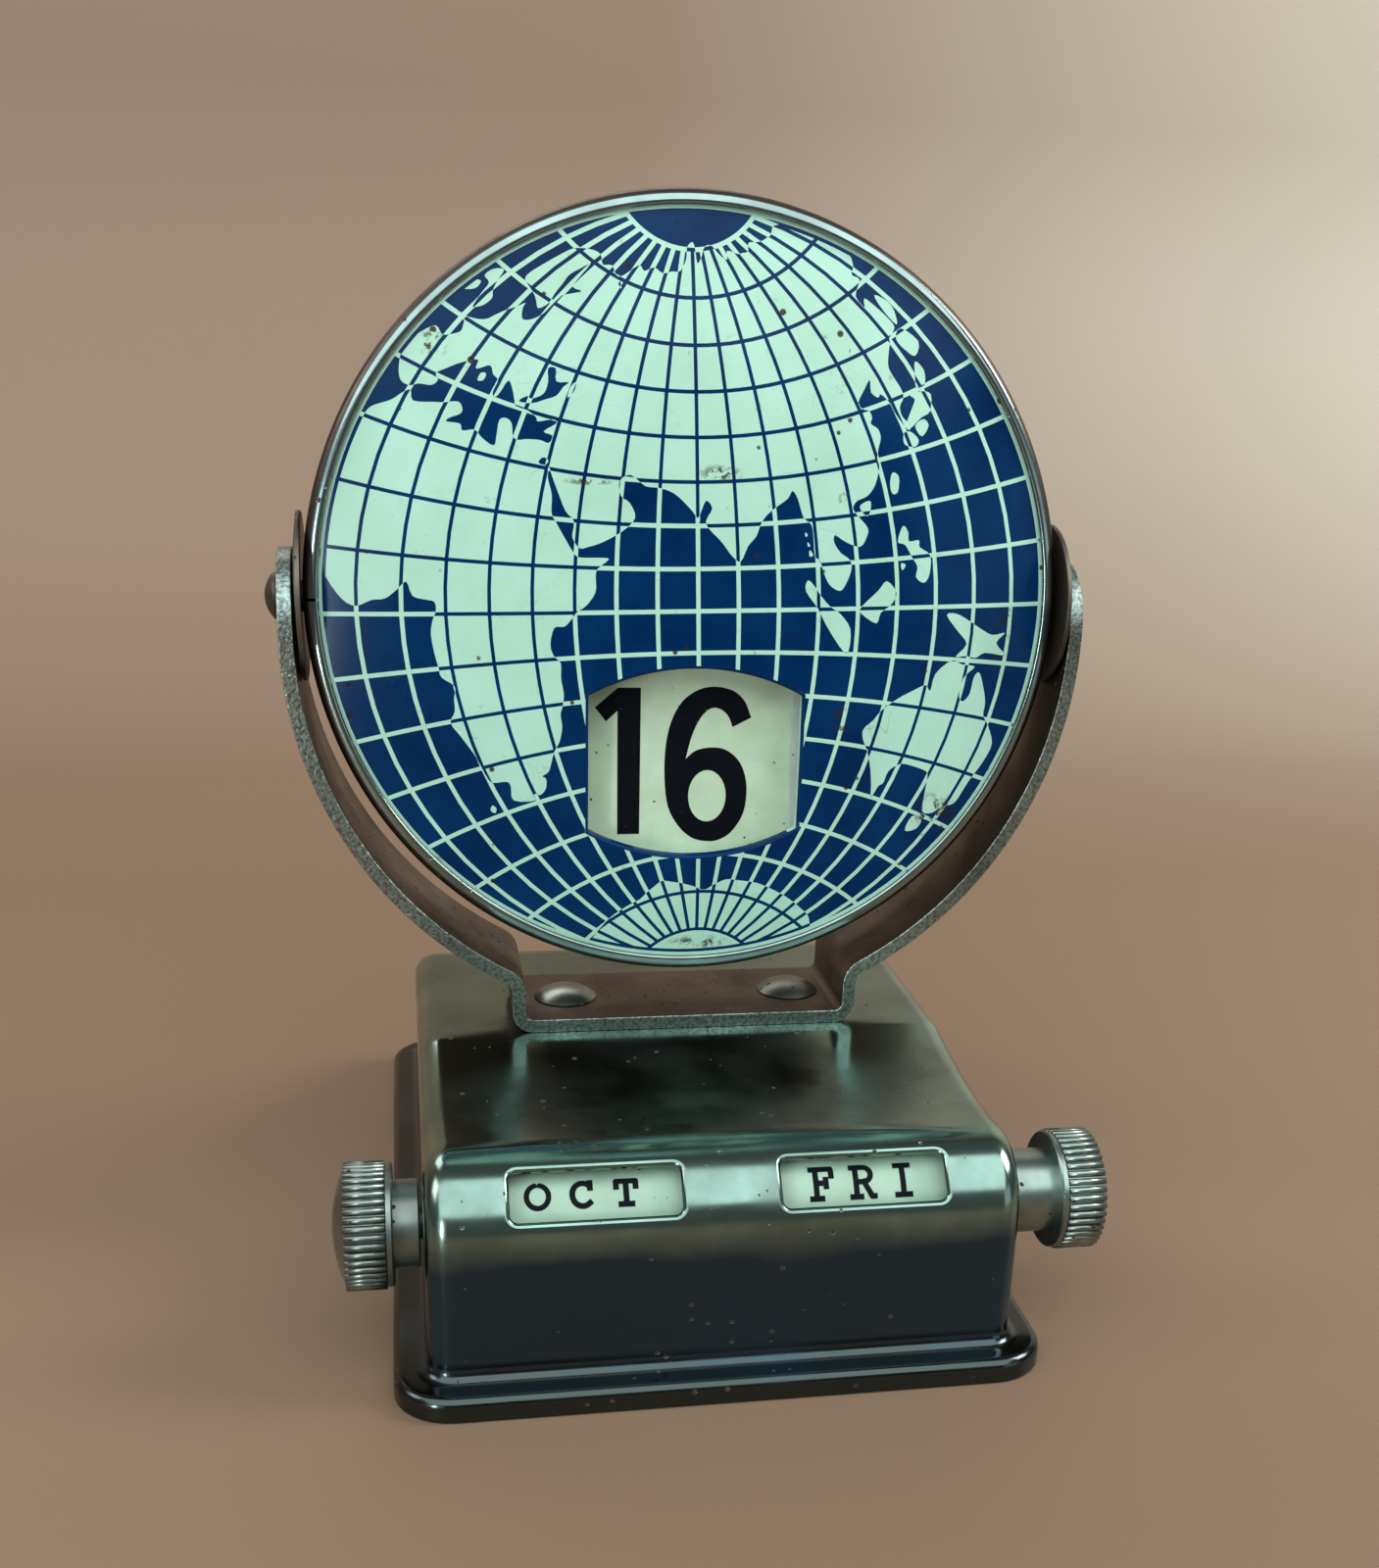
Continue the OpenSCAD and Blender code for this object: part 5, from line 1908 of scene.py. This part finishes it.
@dataclass
class DateInk:
    """The two dates on the outer sides of the tile stack, drawn about the window's middle."""

    drum: Drum
    stack_t: float = 5.74
    ink_h: float = 0.02
    one: tuple[Point, ...] = (
        (-7.25, 7.05), (-9.55, 5.1), (-8.45, 3.7), (-7.3, 4.75), (-7.3, -7.75), (-5.05, -7.75), (-4.95, 7.05),
    )
    seven: tuple[Point, ...] = (
        (-1.9, 7.05), (-1.9, 4.75), (3.9, 4.75), (0.3, -7.75), (2.8, -7.75), (6.3, 4.9), (6.3, 7.05),
    )
    six: tuple[Point, ...] = (
        (2.6, 7.15), (4.4, 6.75), (5.6, 5.7), (6.3, 4.05), (4.4, 3.1), (3.95, 4.2), (3.1, 4.92), (2.1, 4.95),
        (1.1, 4.0), (0.25, 2.2), (-0.35, -0.1), (0.7, 0.75), (2.3, 1.05), (3.75, 0.8), (5.1, -0.3),
        (5.85, -2.0), (6.0, -4.0), (5.6, -6.0), (4.4, -7.75), (3.1, -8.5), (1.85, -8.6), (0.35, -8.2),
        (-1.0, -7.0), (-2.1, -5.0), (-2.5, -2.0), (-2.4, 1.2), (-1.85, 3.7), (-0.75, 5.7), (0.9, 6.85),
    )
    six_corners: tuple[int, ...] = (3, 4, 10)
    counter_at: Point = (1.9, -3.9)
    counter_size: Point = (1.95, 2.65)

    def build(self) -> Piece:
        """Makes both dates as one piece of ink: 16 in front and 17 behind, head down at rest.

        Returns:
            The piece.
        """
        draft = Draft()
        six = smooth_loop(self.six, 4, self.six_corners)
        counter = bowl(*self.counter_at, *self.counter_size, 0, 360, 28)[:-1]
        height = self.stack_t / 2 + self.ink_h
        for front, last in ((True, [six, counter]), (False, [self.seven])):
            place, sign = self.drum.place(front), 1 if front else -1
            facing = place.to_3x3() @ Vector((0, 0, 1))
            for patch in filled([self.one]) + filled(last):
                spots = [Vector((sign * x, sign * y - self.drum.window_drop, height)) for x, y in patch]
                draft.face([place @ p for p in spots], [facing] * 3)
        return draft.make("date_figures", [self.drum.finishes.ink])


# ---------- knobs


class KnurlTree:
    """Geometry Nodes tree that lays round ribs about a knob's core."""

    SOCKETS = {
        "Count": "NodeSocketInt",
        "Ring Radius": "NodeSocketFloat",
        "Rib Radius": "NodeSocketFloat",
        "Length": "NodeSocketFloat",
        "Middle": "NodeSocketVector",
        "Finish": "NodeSocketMaterial",
    }
    RIB_SIDES = 8

    def __init__(self) -> None:
        """Builds the tree with its named inputs."""
        self.tree = bpy.data.node_groups.new("knurl_ring", "GeometryNodeTree")
        face = self.tree.interface
        face.new_socket("Geometry", in_out="INPUT", socket_type="NodeSocketGeometry")
        face.new_socket("Geometry", in_out="OUTPUT", socket_type="NodeSocketGeometry")
        self.inputs = {}
        for name, kind in self.SOCKETS.items():
            self.inputs[name] = face.new_socket(name, in_out="INPUT", socket_type=kind).identifier
        g = Graph(self.tree)
        given, end = g.node("NodeGroupInput").outputs, g.node("NodeGroupOutput")
        sizes = {"Vertices": given["Count"], "Radius": given["Ring Radius"]}
        ring = g.node("GeometryNodeMeshCircle", sizes)
        sizes = {"Vertices": self.RIB_SIDES, "Radius": given["Rib Radius"], "Depth": given["Length"]}
        rib = g.node("GeometryNodeMeshCylinder", sizes)
        smooth = g.node("GeometryNodeSetShadeSmooth", {"Geometry": rib.outputs["Mesh"], "Shade Smooth": True})
        inputs = {"Points": ring.outputs["Mesh"], "Instance": smooth.outputs[0]}
        spread = g.node("GeometryNodeInstanceOnPoints", inputs)
        place = {"Rotation": (0.0, math.pi / 2, 0.0), "Translation": given["Middle"]}
        lay = g.node("GeometryNodeTransform", {"Geometry": spread.outputs[0], **place})
        real = g.node("GeometryNodeRealizeInstances", {"Geometry": lay.outputs[0]})
        inputs = {"Geometry": real.outputs[0], "Material": given["Finish"]}
        dressed = g.node("GeometryNodeSetMaterial", inputs)
        joined = g.node("GeometryNodeJoinGeometry", {0: dressed.outputs[0]})
        g.feed(joined, {0: given["Geometry"]})
        g.feed(end, {0: joined.outputs[0]})

    def bake(self, core: bpy.types.Object, values: dict[str, object]) -> bpy.types.Object:
        """Adds the ribs to a core and returns the result as a plain mesh.

        Args:
            core: Object whose mesh is the core.
            values: Input name to its value.

        Returns:
            A new object of the core's name; the core is removed.
        """
        name = core.name
        core.name = name + ".core"
        modifier = core.modifiers.new("knurls", "NODES")
        modifier.node_group = self.tree
        for key, value in values.items():
            modifier[self.inputs[key]] = value
        graph = bpy.context.evaluated_depsgraph_get()
        mesh = bpy.data.meshes.new_from_object(core.evaluated_get(graph), depsgraph=graph)
        mesh.name = name
        piece = bpy.data.objects.new(name, mesh)
        bpy.context.scene.collection.objects.link(piece)
        bpy.data.objects.remove(core)
        return piece


@dataclass
class Knob:
    """A knurled knob with its hub, a plain collar and a domed end."""

    finishes: Finishes
    name: str
    side: int
    gap: float
    tree: KnurlTree
    wall_play: float = 0.3
    r: float = 6.0
    length: float = 4.4
    dome_h: float = 1.2
    hub_r: float = 4.15
    edge: float = 0.15
    knurls: int = 44
    rib_r: float = 0.36
    rib_proud: float = 0.1
    collar: float = 0.7
    collar_in: float = 0.2
    collar_edge: float = 0.1
    end_edge: float = 0.05

    def build(self) -> Piece:
        """Turns the core and lays the ribs round it.

        Returns:
            The piece.
        """
        start, inner = WALL_X + self.wall_play, WALL_X + self.gap
        outer, waist = inner + self.length, inner + self.collar
        ring, collar_r = self.r - self.rib_r, self.r - self.collar_in
        core = ring - self.rib_proud
        profile = [(0, start), (self.hub_r - self.edge, start), (self.hub_r, start + self.edge)]
        profile += [(self.hub_r, inner), (collar_r - self.edge, inner), (collar_r, inner + self.edge)]
        profile += [(collar_r, waist - self.collar_edge), (core, waist), (core, outer - self.end_edge)]
        profile += dome(core, self.dome_h, outer)
        draft = Draft()
        turned(draft, profile, sideways(ROLLER_AXIS, self.side), 2 * self.knurls)
        piece = draft.make(self.name, [self.finishes.knob])
        middle = (self.side * (waist + outer) / 2, *ROLLER_AXIS)
        return self.tree.bake(piece, {
            "Count": self.knurls,
            "Ring Radius": ring * MM,
            "Rib Radius": self.rib_r * MM,
            "Length": (self.length - self.collar) * MM,
            "Middle": tuple(c * MM for c in middle),
            "Finish": self.finishes.knob,
        })


# ---------- studio


@dataclass(frozen=True)
class Lamp:
    """A soft rectangular lamp that faces a target; places and sizes in millimetres."""

    name: str
    at: Triple
    size: Point
    watts: float
    colour: Triple
    target: Triple = (0, 0, 60)

    def add(self) -> None:
        """Adds the lamp to the scene."""
        data = bpy.data.lights.new(self.name, "AREA")
        data.shape = "RECTANGLE"
        data.size, data.size_y = self.size[0] * MM, self.size[1] * MM
        data.energy = self.watts
        data.color = self.colour
        lamp = bpy.data.objects.new(self.name, data)
        lamp.location = Vector(self.at) * MM
        lamp.rotation_euler = (Vector(self.target) - Vector(self.at)).to_track_quat("-Z", "Y").to_euler()
        bpy.context.scene.collection.objects.link(lamp)


@dataclass
class Studio:
    """Camera, floor, backdrop and lamps."""

    camera_at: Triple = (-27.69, -178.04, 93.45)
    yaw: float = 11.34
    pitch: float = 21.46
    roll: float = 2.26
    focal_px: float = 1776.5
    centre_px: Point = (758.71, 1031.24)
    frame_px: Point = (1407, 1600)
    sensor: float = 36.0
    clip: Point = (0.005, 20.0)
    floor: Colour = rgb(123, 99, 81)
    # The backdrop's left and right colours are painted shade and painted light
    shaded_paper_left: Colour = rgb(133, 112, 96)
    lit_paper_right: Colour = rgb(173, 165, 153)
    half_w: float = 1400.0
    floor_y: float = -1000.0
    bend: Point = (200.0, 150.0)
    bend_steps: int = 16
    top_z: float = 1100.0
    shade_blend_x: Point = (0.04, 0.3)
    blend_y: Point = (0.12, 0.32)
    world: Colour = (0.5, 0.55, 0.55, 1)
    world_strength: float = 0.25
    lamps: tuple[Lamp, ...] = (
        Lamp("front_softbox", (-30, -320, 450), (1000, 560), 4.15, (0.86, 1.0, 0.97), (0, -20, 50)),
        Lamp("card_left", (-330, -420, 60), (300, 300), 0.17, (0.9, 1.0, 1.0)),
        Lamp("card_right", (420, -420, 60), (300, 300), 0.2, (0.9, 1.0, 1.0)),
        Lamp("strip_left", (-290, -380, 60), (40, 150), 0.6, (0.9, 1.0, 1.0)),
        Lamp("backdrop_right", (520, -60, 420), (260, 260), 3.4, (1.0, 0.97, 0.93), (140, 350, 90)),
        Lamp("backdrop_left", (-560, 0, 420), (260, 260), 1.2, (1.0, 0.93, 0.88), (-60, 350, 60)),
        Lamp("back_softbox", (-80, 310, 400), (500, 200), 0.9, (1.0, 0.98, 0.95), (0, 20, 50)),
    )

    def camera(self) -> None:
        """Places the camera with its axes and its small shift."""
        yaw, pitch, roll = (math.radians(a) for a in (self.yaw, self.pitch, self.roll))
        forward = Vector((math.sin(yaw) * math.cos(pitch), math.cos(yaw) * math.cos(pitch), -math.sin(pitch)))
        right = Vector((math.cos(yaw), -math.sin(yaw), 0))
        up = right.cross(forward)
        tilted = right * math.cos(roll) + up * math.sin(roll)
        top = -right * math.sin(roll) + up * math.cos(roll)
        data = bpy.data.cameras.new("camera")
        width, height = self.frame_px
        data.sensor_width = self.sensor
        data.lens = self.focal_px / height * data.sensor_width
        data.shift_x = (width / 2 - self.centre_px[0]) / height
        data.shift_y = (self.centre_px[1] - height / 2) / height
        data.clip_start, data.clip_end = self.clip
        camera = bpy.data.objects.new("camera", data)
        axes = Matrix((tilted, top, -forward)).transposed().to_4x4()
        camera.matrix_world = Matrix.Translation(Vector(self.camera_at) * MM) @ axes
        bpy.context.scene.collection.objects.link(camera)
        bpy.context.scene.camera = camera

    def stage(self) -> None:
        """Makes the plain floor, which curves up into a backdrop behind the calendar; the backdrop has
        painted shade to the left and painted light to the right.
        """
        bend_y, bend_r = self.bend
        curve = arc(bend_y, bend_r, bend_r, -90, 0, self.bend_steps)
        points = [(self.floor_y, 0.0)] + curve + [(bend_y + bend_r, self.top_z)]
        angles = [math.radians(-90 + 90 * k / self.bend_steps) for k in range(self.bend_steps + 1)]
        normals = [(0.0, 1.0)] + [(-math.cos(a), -math.sin(a)) for a in angles] + [(-1.0, 0.0)]
        rows = []
        for x in (-self.half_w, self.half_w):
            rows.append([(Vector((x, *p)), Vector((0, *n))) for p, n in zip(points, normals)])
        draft = Draft()
        draft.strip(rows, False)
        material = bpy.data.materials.new("studio_paper")
        material.use_nodes = True
        g = Graph(material.node_tree)
        at = g.node("ShaderNodeSeparateXYZ", {0: g.node("ShaderNodeTexCoord").outputs["Object"]}).outputs
        # Painted shade and light: the backdrop darker and warmer to the left, lighter to the right
        paper = g.mix(g.stretch(at["X"], *self.shade_blend_x), self.shaded_paper_left, self.lit_paper_right)
        g.feed(material.node_tree.nodes["Principled BSDF"], {
            "Base Color": g.mix(g.stretch(at["Y"], *self.blend_y), self.floor, paper),
            "Roughness": 0.5,
            "Specular IOR Level": 0.3,
        })
        floor = draft.make("studio_floor", [material])

    def build(self) -> None:
        """Sets up the camera, the stage, the lamps, the world and the view transform."""
        self.camera()
        self.stage()
        for lamp in self.lamps:
            lamp.add()
        world = bpy.data.worlds.new("studio_world")
        world.use_nodes = True
        sky = {"Color": self.world, "Strength": self.world_strength}
        Graph(world.node_tree).feed(world.node_tree.nodes["Background"], sky)
        bpy.context.scene.world = world
        bpy.context.scene.view_settings.view_transform = "Standard"


# ---------- assembly


def wear(node: Piece, material: Material) -> None:
    """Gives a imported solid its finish."""
    node.data.materials.clear()
    node.data.materials.append(material)


def stand_in(piece: Piece, body: str, *nodes: str) -> None:
    """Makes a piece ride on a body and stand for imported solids.

    Args:
        piece: The piece.
        body: Name of the body.
        *nodes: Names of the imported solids.
    """
    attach(piece, body)
    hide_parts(*nodes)
    LOG.info("%s rides on %s for %s", piece.name, body, ", ".join(nodes))


def dress_solids(nodes: dict[str, Piece], finishes: Finishes) -> None:
    """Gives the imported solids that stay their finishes.

    Args:
        nodes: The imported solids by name.
        finishes: The finishes.
    """
    for name in ("bottom_plate", "roller_bracket", "strap_left", "strap_right"):
        wear(nodes[name], finishes.inside)
    for name in ("month_shaft", "weekday_shaft"):
        wear(nodes[name], finishes.dark)
    for name, node in nodes.items():
        if name.startswith("tile_"):
            wear(node, finishes.guide if name == "tile_cage" else finishes.paper)


def main() -> None:
    """Builds the calendar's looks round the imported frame."""
    logging.basicConfig(level=logging.INFO, format="%(name)s: %(message)s")
    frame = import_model()
    finishes = Finishes()
    Studio().build()

    stand_in(Base(finishes).shell(), "base", "base_shell")
    yoke = Yoke(finishes)
    stand_in(yoke.strip(), "base", "yoke")
    for piece, node in zip(yoke.rivets(), ("rivet_left", "rivet_right")):
        stand_in(piece, "base", node)

    drum = Drum(finishes)
    stand_in(drum.band(), "drum", "rim_band")
    front = GlobePrint(drum, True, 70.0, [OLD_WORLD] + OLD_WORLD_ISLANDS, LAKES)
    stand_in(front.build("front_print"), "drum", "front_face")
    back = GlobePrint(drum, False, -110.0, [NEW_WORLD] + NEW_WORLD_ISLANDS, [])
    stand_in(back.build("back_print"), "drum", "back_face")
    hung = ("pin_left", "pin_right", "washer_left", "washer_right")
    for piece, node in zip(yoke.pins() + yoke.washers(), hung):
        stand_in(piece, "drum", node)
    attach(DateInk(drum).build(), "date_tiles")

    month = Roller(finishes, "month_print", "month_roller", MONTHS, "OCT", -1, -13.66, 42.4, 2.7, 4.05)
    weekday = Roller(finishes, "weekday_print", "weekday_roller", WEEKDAYS, "FRI", 1, 12.72, 41.0, 3.35, 3.9)
    stand_in(month.build(), "month_spindle", month.node)
    stand_in(weekday.build(), "weekday_spindle", weekday.node)
    knurls = KnurlTree()
    left = Knob(finishes, "month_knob_ribbed", -1, 2.7, knurls)
    right = Knob(finishes, "weekday_knob_ribbed", 1, 4.9, knurls)
    stand_in(left.build(), "month_spindle", "month_knob")
    stand_in(right.build(), "weekday_spindle", "weekday_knob")
    dress_solids(frame["nodes"], finishes)


if __name__ == "__main__":
    main()
